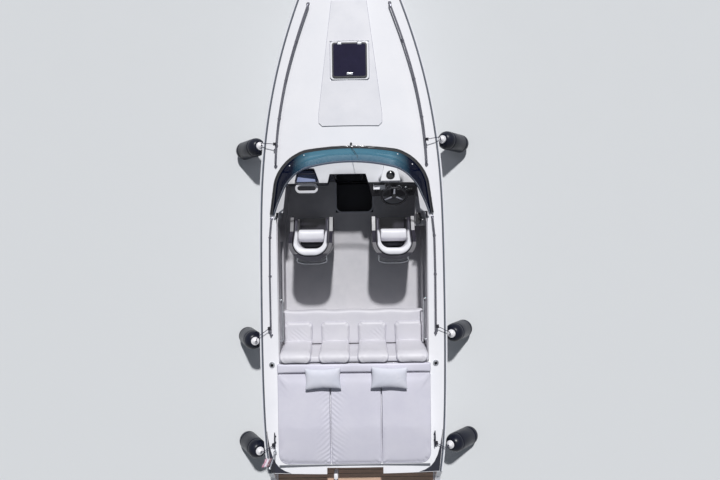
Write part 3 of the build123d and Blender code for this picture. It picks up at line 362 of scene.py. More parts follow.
# which finish each CAD node wears
nodeFinish = {
    "whiteGelcoat": ["deck", "anchor_locker_lid", "dash_top", "engine_bay_coaming", "sunpad_lid", "swim_platform",
                     "stern_step_well", "deck_hatch_frame"],
    "portConsole": ["port_console"],
    "bulkheadPaintedShade": ["cabin_bulkhead"],
    "hullPaint": ["hull"],
    "deckNonSkid": ["foredeck_panel"],
    "floorLiner": ["cockpit_liner", "bench_base", "side_pockets"],
    "wellLining": ["entry_well"],
    "dashBlack": ["helm_console"],
    "railWhite": ["rub_rail_insert"],
    "blackRubber": ["platform_strip"],
    "rubRailGrey": ["rub_rail"],
    "brushedSteel": ["seat_grab_bars"],
    "stainlessSteel": ["seat_pedestals", "towing_eyes", "cleats", "rod_holders", "hand_rails",
                       "flag_staff"],
    "blackFrame": ["deck_hatch_lid"],
    "glossBlack": ["windshield_foot"],
    "screenEdge": ["windshield_top"],
    "hatchGlass": ["deck_hatch_glass"],
    "screenGlass": ["windshield_glass"],
    "doorPanel": ["cabin_door"],
    "varnishedPly": ["cabin_sole_and_berth"],
    "benchVinyl": ["bench_cushion", "bench_back", "bench_seat_pads", "bench_back_pads", "berth_cushion"],
    "seatVinyl": ["seat_upholstery", "seat_bolster_port", "seat_bolster_starboard"],
    "sunpadVinyl": ["sunpad_cushions"],
    "pillowCloth": ["pillows", "flag"],
    "seatShell": ["seat_shells"],
    "blackPlastic": ["compass", "throttle", "wiper", "steering_wheel"],
    "teakPlanks": ["platform_teak"],
    "enginePaint": ["engine_block"],
    "drivePaint": ["drive_mount", "gimbal_ring", "drive_leg"],
    "propellerSteel": ["propeller"],
    "fenderVinyl": ["fenders"],
    "fenderCap": ["fender_caps"],
    "darkRope": ["fender_lines"],
}


def dressNodes():
    for finish, names in nodeFinish.items():
        for name in names:
            nodes[name].data.materials.clear()
            nodes[name].data.materials.append(finishes[finish])
    bare = set(nodes) - {name for names in nodeFinish.values() for name in names}
    print("materials on", len(nodes) - len(bare), "nodes, bare:", sorted(bare))


dressNodes()


# floor at the waterline, sun over the bow and a soft sky; stern, stem, side and narrow are for the hole in the floor
stageSetup = {"size": 60.0, "floor": paint(216, 218, 220), "sky": 0.13, "sun": 3.5, "sunHeight": 50.0, "sunTurn": 5.0,
              "sunSoftness": 3.0, "skyColour": (0.78, 0.87, 1.0, 1.0), "backdrop": 0.95, "stern": -3.69, "stem": 3.4,
              "rowStep": 0.1, "tuck": 0.01, "side": 3, "narrow": 0.05, "rayHeight": 0.001}


def floorMesh():
    # the floor stops just inside the hull, so that none of it lies in the well or the engine bay
    half, stern, stem = stageSetup["size"] / 2, stageSetup["stern"], stageSetup["stem"]
    bpy.context.view_layer.update()
    rows = []
    count = round((stem - stern) / stageSetup["rowStep"])
    for k in range(count + 1):
        y = stern + (stem - stern) * k / count
        start = Vector((stageSetup["side"], y, stageSetup["rayHeight"]))
        hit, place, normal, index = nodes["hull"].ray_cast(start, Vector((-1, 0, 0)))
        if not hit or place.x < stageSetup["narrow"]:
            break
        rows.append((y, place.x - stageSetup["tuck"]))
    points, faces = [], []
    for y, reach in rows:
        points += [(-half, y, 0), (-reach, y, 0), (reach, y, 0), (half, y, 0)]
    for k in range(len(rows) - 1):
        a, b = 4 * k, 4 * k + 4
        faces += [(a, a + 1, b + 1, b), (a + 2, a + 3, b + 3, b + 2)]
    for y, edge in ((rows[0][0], -half), (rows[-1][0], half)):
        start = len(points)
        points += [(-half, y, 0), (half, y, 0), (half, edge, 0), (-half, edge, 0)]
        corners = (start, start + 1, start + 2, start + 3)
        faces.append(corners if edge > y else (corners[0], *reversed(corners[1:])))
    mesh = bpy.data.meshes.new("floor")
    mesh.from_pydata(points, [], faces)
    return mesh


def skyWorld():
    # a weak sky lights the boat; the camera, polished metal and glass see a pale backdrop in its place
    world = bpy.data.worlds.new("sky")
    world.use_nodes = True
    tree = world.node_tree
    sky = tree.nodes["Background"]
    sky.inputs["Color"].default_value = stageSetup["skyColour"]
    sky.inputs["Strength"].default_value = stageSetup["sky"]
    backdrop = addNode(tree, "ShaderNodeBackground", Color=stageSetup["floor"], Strength=stageSetup["backdrop"])
    paths = tree.nodes.new("ShaderNodeLightPath")
    seen = reckon(tree, "MAXIMUM", paths.outputs["Is Camera Ray"], paths.outputs["Is Glossy Ray"])
    seen = reckon(tree, "MAXIMUM", seen, paths.outputs["Is Transmission Ray"])
    mix = tree.nodes.new("ShaderNodeMixShader")
    tree.links.new(seen, mix.inputs[0])
    tree.links.new(sky.outputs[0], mix.inputs[1])
    tree.links.new(backdrop.outputs[0], mix.inputs[2])
    tree.links.new(mix.outputs[0], tree.nodes["World Output"].inputs["Surface"])
    return world


def addStage():
    mesh = floorMesh()
    floor = bpy.data.objects.new("floor", mesh)
    scene.collection.objects.link(floor)
    pale = {"colour": stageSetup["floor"], "second": stageSetup["floor"], "rough": 0.9, "driftScale": 2.0}
    mesh.materials.append(makeFinish("paleFloor", pale))
    sun = bpy.data.lights.new("sun", "SUN")
    sun.energy = stageSetup["sun"]
    sun.angle = math.radians(stageSetup["sunSoftness"])
    lamp = bpy.data.objects.new("sun", sun)
    lamp.rotation_euler = (math.radians(90 - stageSetup["sunHeight"]), 0, math.radians(180 - stageSetup["sunTurn"]))
    scene.collection.objects.link(lamp)
    scene.world = skyWorld()


addStage()
print("stage ready")

# soft goods: meshes of the pads, and one run of cloth that stuffs them
stuffing = {"frames": 16, "pressure": 4.0, "stiffness": 12.0, "bending": 0.6, "quality": 4, "mass": 0.4}
waiting = []  # pieces to be stuffed, with the points that stay put and the most that a point may move


def addPiece(name, points, faces, finish, body):
    mesh = bpy.data.meshes.new(name)
    mesh.from_pydata([tuple(point) for point in points], [], faces)
    mesh.validate()
    mesh.update()
    mesh.polygons.foreach_set("use_smooth", [True] * len(mesh.polygons))
    mesh.materials.append(finishes[finish])
    piece = bpy.data.objects.new(name, mesh)
    scene.collection.objects.link(piece)
    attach(piece, body)
    return piece


def gridLines(half, edge, step):
    # offsets across a pad, closer together over the rolled edge
    inner = half - edge
    count = max(2, round(2 * inner / step))
    middle = [-inner + 2 * inner * i / count for i in range(count + 1)]
    rolled = [edge * share for share in (1.0, 0.86, 0.6, 0.3)]
    return [-inner - offset for offset in rolled] + middle + [inner + offset for offset in reversed(rolled)]


def roundedPlace(x, y, halfX, halfY, corners):
    # moves a point of the full rectangle into one with round corners, and gives its distance from the edge
    radius = corners[(1 if x > 0 else 0) + (2 if y > 0 else 0)]
    overX, overY = abs(x) - (halfX - radius), abs(y) - (halfY - radius)
    gap = min(halfX - abs(x), halfY - abs(y))
    if overX > 0 and overY > 0:
        reach = max(overX, overY)
        shrink = reach / math.hypot(overX, overY)
        x = math.copysign(halfX - radius + overX * shrink, x)
        y = math.copysign(halfY - radius + overY * shrink, y)
        gap = radius - reach
    return x, y, max(gap, 0.0)


def gridFaces(lines, length, flip=False):
    # quads of a grid of points that is stored line by line
    faces = []
    for i in range(lines - 1):
        for j in range(length - 1):
            a, b = i * length + j, (i + 1) * length + j
            faces.append((a, a + 1, b + 1, b) if flip else (a, b, b + 1, a + 1))
    return faces


def gridEdge(lines, length):
    # the points round the edge of such a grid
    edge = list(range(length)) + [i * length + length - 1 for i in range(1, lines)]
    edge += [(lines - 1) * length + j for j in range(length - 2, -1, -1)]
    return edge + [i * length for i in range(lines - 2, 0, -1)]


def joinRings(low, high):
    # quads between two rings, given as lists of point numbers
    count = len(low)
    return [(low[k], low[(k + 1) % count], high[(k + 1) % count], high[k]) for k in range(count)]


def bandFaces(rings, sides, closed=False, flip=False):
    # quads between rings stored one after the other; closed joins the last ring to the first
    faces = []
    for k in range(rings if closed else rings - 1):
        a, b = k * sides, (k + 1) % rings * sides
        for j in range(sides):
            m = (j + 1) % sides
            faces.append((a + j, b + j, b + m, a + m) if flip else (a + j, a + m, b + m, b + j))
    return faces


def endFaces(rings, sides, swap=False):
    first, last = tuple(range(sides)), tuple(range((rings - 1) * sides, rings * sides))
    return [first, last[::-1]] if swap else [first[::-1], last]


# what a pad has when it doesn't say otherwise
plainPad = {"roll": 1.0, "walls": 3, "bulge": 0.002, "twoSided": False, "seamShare": 0.5}


def padMesh(pad):
    # closed pad on z = 0 around its own middle: rolled top edge, crowned top, sides that pull in between the corners
    pad = {**plainPad, **pad}
    halfX, halfY, thick, edge = pad["width"] / 2, pad["length"] / 2, pad["thick"], pad["edge"]
    xs, ys = gridLines(halfX, edge, pad["step"]), gridLines(halfY, edge, pad["step"])
    columns, rows = len(xs), len(ys)
    plan, top = [], []
    for x in xs:
        for y in ys:
            px, py, gap = roundedPlace(x, y, halfX, halfY, pad["corners"])
            u, v = px / halfX, py / halfY
            px -= pad["pull"] * u * (1 - v * v)
            py -= pad["pull"] * v * (1 - u * u)
            height = 0.0
            if gap < edge:
                height = math.sqrt(max(edge * edge - (edge - gap) ** 2, 0.0)) - edge
            lift = pad["crown"] * (1 - u ** 2) * (1 - v ** 2)
            plan.append((px, py))
            top.append(thick + height * pad["roll"] + lift)
    points = [(x, y, z) for (x, y), z in zip(plan, top)]
    ring = gridEdge(columns, rows)
    faces = gridFaces(columns, rows)
    last = ring
    for row in range(1, 0 if pad["twoSided"] else pad["walls"]):
        share = row / pad["walls"]
        bulge = pad["bulge"] * math.sin(math.pi * share)
        now = list(range(len(points), len(points) + len(ring)))
        for index in ring:
            x, y, z = points[index]
            length = math.hypot(x, y) or 1.0
            points.append((x + bulge * x / length, y + bulge * y / length, z * (1 - share)))
        faces += joinRings(last, now)
        last = now
    base, rim = len(points), set(ring)
    inside = {}
    for index, (x, y) in enumerate(plan):
        if pad["twoSided"] and index in rim:
            inside[index] = index
        else:
            inside[index] = len(points)
            points.append((x, y, thick * 2 * pad["seamShare"] - top[index] if pad["twoSided"] else 0.0))
    faces += [tuple(inside[k] for k in face) for face in gridFaces(columns, rows, flip=True)]
    if not pad["twoSided"]:
        faces += joinRings(last, [inside[index] for index in ring])
    return points, faces, {"ring": ring, "topCount": columns * rows, "base": base}


def roundedLine(points, bend, steps=6):
    # a line whose corners are rounded
    line = [Vector(points[0])]
    for before, corner, after in zip(points, points[1:], points[2:]):
        before, corner, after = Vector(before), Vector(corner), Vector(after)
        start = corner + (before - corner).normalized() * min(bend, (before - corner).length * 0.49)
        end = corner + (after - corner).normalized() * min(bend, (after - corner).length * 0.49)
        for step in range(steps + 1):
            share = step / steps
            line.append(start.lerp(corner, share).lerp(corner.lerp(end, share), share))
    line.append(Vector(points[-1]))
    return line


def lengthMarks(line):
    # distance from the line's start to each of its points
    marks = [0.0]
    for a, b in zip(line, line[1:]):
        marks.append(marks[-1] + (b - a).length)
    return marks


def bentAlong(path, bend):
    # maps distance along a path in y and z, and height over it, to a place
    line = roundedLine(path, bend, 8)
    marks = lengthMarks(line)
    least = 1e-9

    def place(distance, height):
        distance = min(max(distance, 0.0), marks[-1])
        k = max(i for i, mark in enumerate(marks[:-1]) if mark <= distance + least)
        run = max(marks[k + 1] - marks[k], least)
        spot = line[k].lerp(line[k + 1], (distance - marks[k]) / run)
        before, after = line[max(k - 1, 0)], line[min(k + 2, len(line) - 1)]
        along = (after - before).normalized()
        return spot.x + along.y * height, spot.y - along.x * height

    return place, marks[-1]


def waitToStuff(piece, held, most, pressure=stuffing["pressure"]):
    waiting.append({"piece": piece, "held": list(held), "most": most, "pressure": pressure})


def stuffAll():
    # one run of the cloth for every waiting piece; points move at most as far as their pad allows
    if not waiting:
        print("stuffing skipped for", len(waiting), "pieces")
        return
    scene.frame_start, scene.frame_end = 1, stuffing["frames"]
    for job in waiting:
        piece = job["piece"]
        group = piece.vertex_groups.new(name="held")
        group.add(job["held"], 1.0, "REPLACE")
        cloth = piece.modifiers.new("stuffing", "CLOTH")
        settings = cloth.settings
        settings.quality = stuffing["quality"]
        settings.mass = stuffing["mass"]
        settings.tension_stiffness = settings.compression_stiffness = stuffing["stiffness"]
        settings.shear_stiffness = stuffing["stiffness"] / 2
        settings.bending_stiffness = stuffing["bending"]
        settings.use_pressure = True
        settings.uniform_pressure_force = job["pressure"]
        settings.effector_weights.gravity = 0.0
        settings.vertex_group_mass = "held"
        cloth.collision_settings.use_collision = False
        cloth.collision_settings.use_self_collision = False
        cloth.point_cache.frame_start, cloth.point_cache.frame_end = 1, stuffing["frames"]
    for number in range(1, stuffing["frames"] + 1):
        scene.frame_set(number)
    depsgraph = bpy.context.evaluated_depsgraph_get()
    for job in waiting:
        piece = job["piece"]
        puffed = [vertex.co.copy() for vertex in piece.evaluated_get(depsgraph).data.vertices]
        for vertex, place in zip(piece.data.vertices, puffed):
            move = place - vertex.co
            if move.length > job["most"]:
                move *= job["most"] / move.length
            vertex.co += move
        piece.modifiers.remove(piece.modifiers["stuffing"])
        piece.data.update()
    scene.frame_set(1)
    print("stuffed", len(waiting), "pieces")


def smoothOver(piece):
    soften = piece.modifiers.new("smoothOver", "SUBSURF")
    soften.levels = soften.render_levels = 1


# sunpad: three panels over the engine lid and a headrest strip ahead of them
sunpad = {"lines": (-1.026, -0.318, 0.362, 1.026), "aft": -3.536, "front": -2.300, "base": 0.841, "thick": 0.076,
          "gap": 0.0006, "corner": 0.15, "smallCorner": 0.03, "step": 0.015, "edge": 0.007, "most": 0.009,
          "slope": 0.55, "thin": 0.85, "slopePower": 1.4, "top": 0.9285, "crown": 0.004, "pull": 0.003}
headrest = {"width": 2.046, "aft": -2.292, "front": -2.1728, "base": 0.882, "thick": 0.034, "step": 0.03,
            "edge": 0.014, "most": 0.004, "corners": (0.02,) * 4, "crown": 0.003, "pull": 0.002}
# folds that run out from the two seams, with their reach and height at each seam
folds = {"port": (0.30, 0.0062), "starboard": (0.16, 0.0028), "pitch": 92, "slant": 0.9, "jitter": 2.6, "fade": 1.5,
         "least": 0.35, "spread": 0.65, "gain": 1.6, "trough": -0.35, "swell": 0.0012, "calm": 0.03}


def cloud(x, y, scaleX, scaleY, seed):
    # smooth noise over the plan; another seed gives another cloud
    return noise.noise(Vector((x * scaleX, y * scaleY, seed)))


def creases(x, y, seam, reach):
    # short slanting folds that run out from a seam, as on a cover pulled tight over foam
    off = abs(x - seam)
    if off > reach:
        return 0.0
    patch = abs(cloud(x, y, 3, 2.2, 1.7))
    fade = (1 - off / reach) ** folds["fade"] * (folds["least"] + folds["spread"] * patch * folds["gain"])
    wave = math.sin((y + off * folds["slant"]) * folds["pitch"] + folds["jitter"] * cloud(x, y, 5, 5, 4.1))
    return fade * max(wave, folds["trough"])


def makeSunpad():
    pieces = []
    lines = sunpad["lines"]
    for number, (left, right) in enumerate(zip(lines, lines[1:])):
        width, length = right - left - 2 * sunpad["gap"], sunpad["front"] - sunpad["aft"]
        small, large = sunpad["smallCorner"], sunpad["corner"]
        corners = (large if number == 0 else small, large if number == 2 else small, small, small)
        points, faces, facts = padMesh({**sunpad, "width": width, "length": length, "corners": corners})
        middle = Vector(((left + right) / 2, (sunpad["aft"] + sunpad["front"]) / 2, sunpad["base"]))
        places = []
        for x, y, z in points:
            aftShare = min(max(1 - (y + length / 2) / sunpad["slope"], 0.0), 1.0)
            places.append(Vector((x, y, z * (1 - sunpad["thin"] * aftShare ** sunpad["slopePower"]))) + middle)
        piece = addPiece(f"sunpad_panel_{number + 1}", places, faces, "sunpadVinyl", "engine_lid")
        waitToStuff(piece, range(facts["base"], len(places)), sunpad["most"])
        pieces.append((piece, facts))
    points, faces, facts = padMesh({**headrest, "length": headrest["front"] - headrest["aft"]})
    middle = Vector((0, (headrest["front"] + headrest["aft"]) / 2, headrest["base"]))
    places = [Vector(point) + middle for point in points]
    strip = addPiece("sunpad_headrest_strip", places, faces, "sunpadVinyl", "engine_lid")
    waitToStuff(strip, range(facts["base"], len(points)), headrest["most"])
    return pieces, (strip, facts)


def creaseSunpad(pieces):
    seams = ((sunpad["lines"][1], *folds["port"]), (sunpad["lines"][2], *folds["starboard"]))
    for piece, facts in pieces:
        for vertex in piece.data.vertices[:facts["topCount"]]:
            x, y, z = vertex.co
            gap = min(abs(x - line) for line in sunpad["lines"])
            fold = sum(creases(x, y, seam, reach) * height for seam, reach, height in seams)
            fold += folds["swell"] * cloud(x, y, 5, 5, 0.5)
            vertex.co.z = min(z + fold * min(gap / folds["calm"], 1.0), sunpad["top"])
        smoothOver(piece)


sunpadPieces, (headrestStrip, headrestFacts) = makeSunpad()

# bench: a long seat cushion, a back, and four bucket pads that run from the seat up over the back
bench = {"width": 1.992, "aft": -1.986, "front": -1.503, "base": 0.402, "thick": 0.092, "edge": 0.03, "step": 0.03,
         "corners": (0.02, 0.02, 0.045, 0.045), "crown": 0.003, "pull": 0.0, "scallop": 0.012, "hidden": 0.035,
         "most": 0.006, "pitch": 0.517}
bucketPad = {"middles": (-0.776, -0.259, 0.259, 0.776), "width": 0.408, "thick": 0.036, "step": 0.016, "edge": 0.018,
             "path": [(-1.664, 0.5035), (-1.974, 0.5035), (-2.060, 0.896), (-2.112, 0.9215), (-2.150, 0.901)],
             "bend": 0.062, "corners": (0.075,) * 4, "crown": 0.004, "pull": 0.004, "most": 0.010,
             "waist": 0.055, "waistAt": 0.31, "waistReach": 0.09, "flare": 0.035, "flareFrom": 0.45}


def makeBench():
    length = bench["front"] - bench["aft"]
    points, faces, facts = padMesh({**bench, "length": length})
    middle = Vector((0, (bench["front"] + bench["aft"]) / 2, bench["base"]))
    places = []
    for x, y, z in points:
        frontShare = max((y / (length / 2)), 0.0) ** 2
        wave = 0.5 - 0.5 * math.cos(2 * math.pi * x / bench["pitch"])
        y -= bench["scallop"] * wave * frontShare
        if len(places) < facts["topCount"] and y < bench["hidden"] - length / 2:
            z = max(z, bench["thick"])  # runs flat under the back
        places.append(Vector((x, y, z)) + middle)
    seat = addPiece("bench_seat_cushion", places, faces, "benchVinyl", "boat")
    waitToStuff(seat, range(facts["base"], len(places)), bench["most"])
    place, total = bentAlong(bucketPad["path"], bucketPad["bend"])
    pads = []
    for number, centre in enumerate(bucketPad["middles"]):
        points, faces, facts = padMesh({**bucketPad, "length": total})
        places = []
        for x, y, z in points:
            along = total / 2 - y
            waist = bucketPad["waist"] * math.exp(-((along - bucketPad["waistAt"]) / bucketPad["waistReach"]) ** 2)
            flared = max(along / total - bucketPad["flareFrom"], 0) / (1 - bucketPad["flareFrom"])
            py, pz = place(along, z)
            places.append(Vector((centre + x * (1.0 - waist + bucketPad["flare"] * flared), py, pz)))
        piece = addPiece(f"bench_bucket_pad_{number + 1}", places, faces, "benchVinyl", "boat")
        waitToStuff(piece, range(facts["base"], len(places)), bucketPad["most"])
        pads.append((piece, facts))
    return seat, pads


def rollStations(half, insets, margin, count):
    # places across a roll, close together where its ends round off, each with its distance from the end
    stations = [(-half + inset, inset) for inset in insets]
    stations += [(-half + margin + (2 * half - 2 * margin) * k / count, None) for k in range(count + 1)]
    return stations + [(half - inset, inset) for inset in reversed(insets)]


def endShrink(inset, radius):
    return 0.0 if inset is None else radius - math.sqrt(max(radius ** 2 - (radius - inset) ** 2, 0.0))


# the back behind the bucket pads: a rounded bolster section across the boat
benchBackShape = {"section": [(-1.9865, 0.404), (-1.9865, 0.50), (-2.0635, 0.888), (-2.080, 0.904), (-2.108, 0.912),
                              (-2.142, 0.914), (-2.1650, 0.907), (-2.1650, 0.404)],
                  "half": 0.996, "insets": (0.0, 0.004, 0.012, 0.026), "radius": 0.026, "margin": 0.04, "count": 48,
                  "middle": (-2.085, 0.66), "sag": 0.003, "sagFrom": 0.85, "rounding": 0.5}


def makeBenchBack():
    back = benchBackShape
    section, middle = back["section"], Vector(back["middle"])
    stations = rollStations(back["half"], back["insets"], back["margin"], back["count"])
    points = []
    for x, inset in stations:
        shrink = endShrink(inset, back["radius"]) * back["rounding"]
        sag = back["sag"] * (0.5 - 0.5 * math.cos(2 * math.pi * x / bench["pitch"]))
        for y, z in section:
            toward = (middle - Vector((y, z))).normalized() * (shrink + (sag if z > back["sagFrom"] else 0.0))
            points.append((x, y + toward.x, z + toward.y))
    faces = bandFaces(len(stations), len(section)) + endFaces(len(stations), len(section), swap=True)
    return addPiece("bench_backrest", points, faces, "benchVinyl", "boat")


benchSeat, bucketPads = makeBench()
benchBack = makeBenchBack()

# helm seats: a wrapped cover, a dark pan and a flip-up bolster in each bucket
helmSeat = {"middles": {"port": -0.557, "starboard": 0.562}, "half": 0.291, "aft": -0.785, "front": -0.213,
            "skin": 0.047, "arm": 0.060, "back": 0.102, "corner": 0.235, "innerCorner": 0.115, "foot": 0.332,
            "crest": [(-0.83, 0.944), (-0.70, 0.974), (-0.56, 0.944), (-0.40, 0.754), (-0.15, 0.654)],
            "outDrop": 0.004, "inDrop": 0.006, "roll": 0.024, "crown": 0.003, "most": 0.006, "pressure": 2.5}
seatPan = {"front": -0.557, "gap": 0.002, "thick": 0.17, "edge": 0.016, "step": 0.024,
           "corners": (0.075, 0.075, 0.012, 0.012), "crown": 0.003, "pull": 0.002, "walls": 5, "most": 0.003}


def crestHeight(y):
    rows = helmSeat["crest"]
    if y <= rows[0][0]:
        return rows[0][1]
    for (y0, z0), (y1, z1) in zip(rows, rows[1:]):
        if y <= y1:
            share = (y - y0) / (y1 - y0)
            return z0 + (z1 - z0) * share
    return rows[-1][1]


def bucketLine(half, aft, corner):
    # plan line of a bucket from the port arm's front, round the back, to the starboard arm's front
    alongArm, roundCorner, across = 9, 14, 5
    side = []
    for k in range(alongArm):
        side.append((half, helmSeat["front"] + (aft + corner - helmSeat["front"]) * k / alongArm))
    for k in range(roundCorner + 1):
        turn = math.pi / 2 * k / roundCorner
        side.append((half - corner + corner * math.cos(turn), aft + corner - corner * math.sin(turn)))
    flat = [((half - corner) * (1 - 2 * k / across), aft) for k in range(1, across)]
    return [(-x, y) for x, y in side] + [(-x, y) for x, y in flat] + [(x, y) for x, y in reversed(side)]


def makeSeatCover(side, centre):
    skin, inset = helmSeat["skin"], helmSeat["skin"] + helmSeat["arm"]
    outer = bucketLine(helmSeat["half"] - skin, helmSeat["aft"] + skin, helmSeat["corner"] - skin * 0.8)
    inner = bucketLine(helmSeat["half"] - inset, helmSeat["aft"] + skin + helmSeat["back"], helmSeat["innerCorner"])
    points = []
    low = helmSeat["foot"]
    for (ox, oy), (ix, iy) in zip(outer, inner):
        oy = max(oy, helmSeat["aft"])
        if oy > helmSeat["front"] - 0.001:
            iy = oy
        topOut, topIn = crestHeight(oy) - helmSeat["outDrop"], crestHeight(iy) - helmSeat["inDrop"]
        width = math.hypot(ix - ox, iy - oy)
        roll = min(helmSeat["roll"], width * 0.42)
        aim = Vector((ix - ox, iy - oy)) / width
        loop = [(0.0, low), (0.0, (low + topOut) / 2), (0.0, topOut - roll), (0.3 * roll, topOut - 0.3 * roll),
                (roll, topOut), (width / 2, (topOut + topIn) / 2 + helmSeat["crown"]), (width - roll, topIn),
                (width - 0.3 * roll, topIn - 0.3 * roll), (width, topIn - roll), (width, (low + topIn) / 2),
                (width, low), (width / 2, low)]
        for across, z in loop:
            points.append((centre + ox + aim.x * across, oy + aim.y * across, z))
    faces = bandFaces(len(outer), len(loop)) + endFaces(len(outer), len(loop))
    piece = addPiece(f"seat_cover_{side}", points, faces, "seatCover", "boat")
    held = [k for k, point in enumerate(points) if point[2] < low + 0.001]
    waitToStuff(piece, held, helmSeat["most"], helmSeat["pressure"])
    return piece


def makePan(side, centre):
    half = helmSeat["half"] - (helmSeat["skin"] + helmSeat["arm"] + seatPan["gap"])
    aft = helmSeat["aft"] + helmSeat["skin"] + helmSeat["back"] + seatPan["gap"]
    length = seatPan["front"] - aft
    points, faces, facts = padMesh({**seatPan, "width": 2 * half, "length": length})
    middle = Vector((centre, aft + length / 2, helmSeat["foot"]))
    places = [Vector(point) + middle for point in points]
    piece = addPiece(f"seat_pan_{side}", places, faces, "darkVinyl", "boat")
    waitToStuff(piece, range(facts["base"], len(points)), seatPan["most"])
    return piece


# rounded roll that carries a driver's thighs, drawn as a section in y and z from its own foot
thighRoll = {"foot": (-0.520, 0.500), "half": 0.1765, "insets": (0.0, 0.004, 0.012, 0.024), "radius": 0.024,
             "margin": 0.04, "count": 16, "middle": (0.055, 0.15), "rounding": 0.8, "held": 0.06, "most": 0.004,
             "pressure": 2.0,
             "section": [(-0.012, 0.004), (-0.0245, 0.058), (-0.025, 0.132), (-0.0245, 0.206), (-0.010, 0.248),
                         (0.014, 0.272), (0.060, 0.2735), (0.108, 0.2725), (0.134, 0.248), (0.143, 0.214),
                         (0.134, 0.166), (0.118, 0.121), (0.094, 0.086), (0.065, 0.051), (0.058, 0.004)]}


def makeBolster(side, centre):
    y0, z0 = thighRoll["foot"]
    section, middle = thighRoll["section"], Vector(thighRoll["middle"])
    stations = rollStations(thighRoll["half"], thighRoll["insets"], thighRoll["margin"], thighRoll["count"])
    points = []
    for x, inset in stations:
        shrink = endShrink(inset, thighRoll["radius"])
        for y, z in section:
            toward = (middle - Vector((y, z))).normalized() * shrink * thighRoll["rounding"]
            points.append((centre + x, y0 + y + toward.x, z0 + z + toward.y))
    faces = bandFaces(len(stations), len(section), flip=True) + endFaces(len(stations), len(section))
    piece = addPiece(f"thigh_bolster_{side}", points, faces, "seatVinyl", f"bolster_{side}")
    held = [k for k, point in enumerate(points) if point[2] < z0 + thighRoll["held"]]
    waitToStuff(piece, held, thighRoll["most"], thighRoll["pressure"])
    return piece


seatCovers = {side: makeSeatCover(side, centre) for side, centre in helmSeat["middles"].items()}
seatPans = {side: makePan(side, centre) for side, centre in helmSeat["middles"].items()}
bolsters = {side: makeBolster(side, centre) for side, centre in helmSeat["middles"].items()}

# two loose pillows at the head of the sunpad: place, size and turn
pillowTable = [("port", -0.408, -2.349, 0.496, 0.298, 1.2), ("starboard", 0.467, -2.348, 0.502, 0.304, -1.6)]
pillowShape = {"thick": 0.056, "step": 0.022, "edge": 0.10, "base": 0.928, "corners": (0.012,) * 4, "crown": 0.012,
               "pull": 0.013, "roll": 0.42, "twoSided": True, "seamShare": 0.30}
pillowStuffing = {"held": 0.004, "most": 0.010, "pressure": 3.0}


def makePillows():
    made = []
    for side, x, y, width, length, turn in pillowTable:
        points, faces, facts = padMesh({"width": width, "length": length, **pillowShape})
        spin = Matrix.Rotation(math.radians(turn), 3, "Z")
        middle = Vector((x, y, pillowShape["base"] - min(point[2] for point in points)))
        places = [spin @ Vector(point) + middle for point in points]
        piece = addPiece(f"pillow_{side}", places, faces, "pillowCloth", "engine_lid")
        held = [k for k, place in enumerate(places) if place.z < pillowShape["base"] + pillowStuffing["held"]]
        waitToStuff(piece, held, pillowStuffing["most"], pillowStuffing["pressure"])
        made.append((piece, facts))
    return made


pillows = makePillows()

# cushion on the berth under the foredeck, seen through the hatch
mattress = {"weld": 0.0005, "rounding": 0.018, "segments": 3, "sharp": 40}


def makeBerth():
    mesh = nodes["berth_cushion"].data.copy()
    piece = bpy.data.objects.new("berth_mattress", mesh)
    scene.collection.objects.link(piece)
    mesh.materials.clear()
    mesh.materials.append(finishes["benchVinyl"])
    piece.modifiers.new("weld", "WELD").merge_threshold = mattress["weld"]
    soften = piece.modifiers.new("rounded", "BEVEL")
    soften.width, soften.segments = mattress["rounding"], mattress["segments"]
    soften.limit_method, soften.angle_limit = "ANGLE", math.radians(mattress["sharp"])
    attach(piece, "boat")
    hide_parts("berth_cushion")


makeBerth()
stuffAll()
creaseSunpad(sunpadPieces)

# wrinkles: on the bucket pads, lower where the pad climbs the back, and on the pillows' upper side
padWrinkles = {"seat": 0.0060, "back": 0.0025, "backFrom": -1.97, "pitch": 120, "slant": (0.75, 0.8), "jitter": 3.0}
pillowWrinkles = {"height": 0.0022, "pitch": 95, "from": 0.012, "slant": 0.6, "jitter": 4, "spread": 0.2}


def finishSoftGoods():
    smoothOver(headrestStrip)
    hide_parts("sunpad_cushions")
    for piece, facts in bucketPads:
        for vertex in piece.data.vertices[:facts["topCount"]]:
            x, y, z = vertex.co
            jitter = padWrinkles["jitter"] * cloud(x, y, 6, 6, 2.2)
            slantX, slantY = padWrinkles["slant"]
            wave = math.sin((y * slantY + x * slantX) * padWrinkles["pitch"] + jitter)
            patch = max(cloud(x, y, 4.5, 5.5, 7.7), 0.0)
            height = padWrinkles["seat"] if y > padWrinkles["backFrom"] else padWrinkles["back"]
            vertex.co.z += height * patch * wave
        smoothOver(piece)
    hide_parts("bench_seat_pads", "bench_back_pads")
    smoothOver(benchSeat)
    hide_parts("bench_cushion")
    smoothOver(benchBack)
    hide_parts("bench_back")
    for side in ("port", "starboard"):
        smoothOver(seatCovers[side])
        smoothOver(seatPans[side])
        smoothOver(bolsters[side])
        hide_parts(f"seat_bolster_{side}")
    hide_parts("seat_upholstery")
    for piece, facts in pillows:
        for vertex in piece.data.vertices:
            x, y, z = vertex.co
            if z > pillowShape["base"] + pillowWrinkles["from"]:
                jitter = pillowWrinkles["jitter"] * cloud(x, y, 5, 5, 3.3)
                fold = math.sin((x * pillowWrinkles["slant"] - y) * pillowWrinkles["pitch"] + jitter)
                patch = max(cloud(x, y, 4, 6, 9.1) + pillowWrinkles["spread"], 0)
                vertex.co.z += pillowWrinkles["height"] * fold * patch
        smoothOver(piece)
    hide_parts("pillows")


finishSoftGoods()
print("soft goods done")

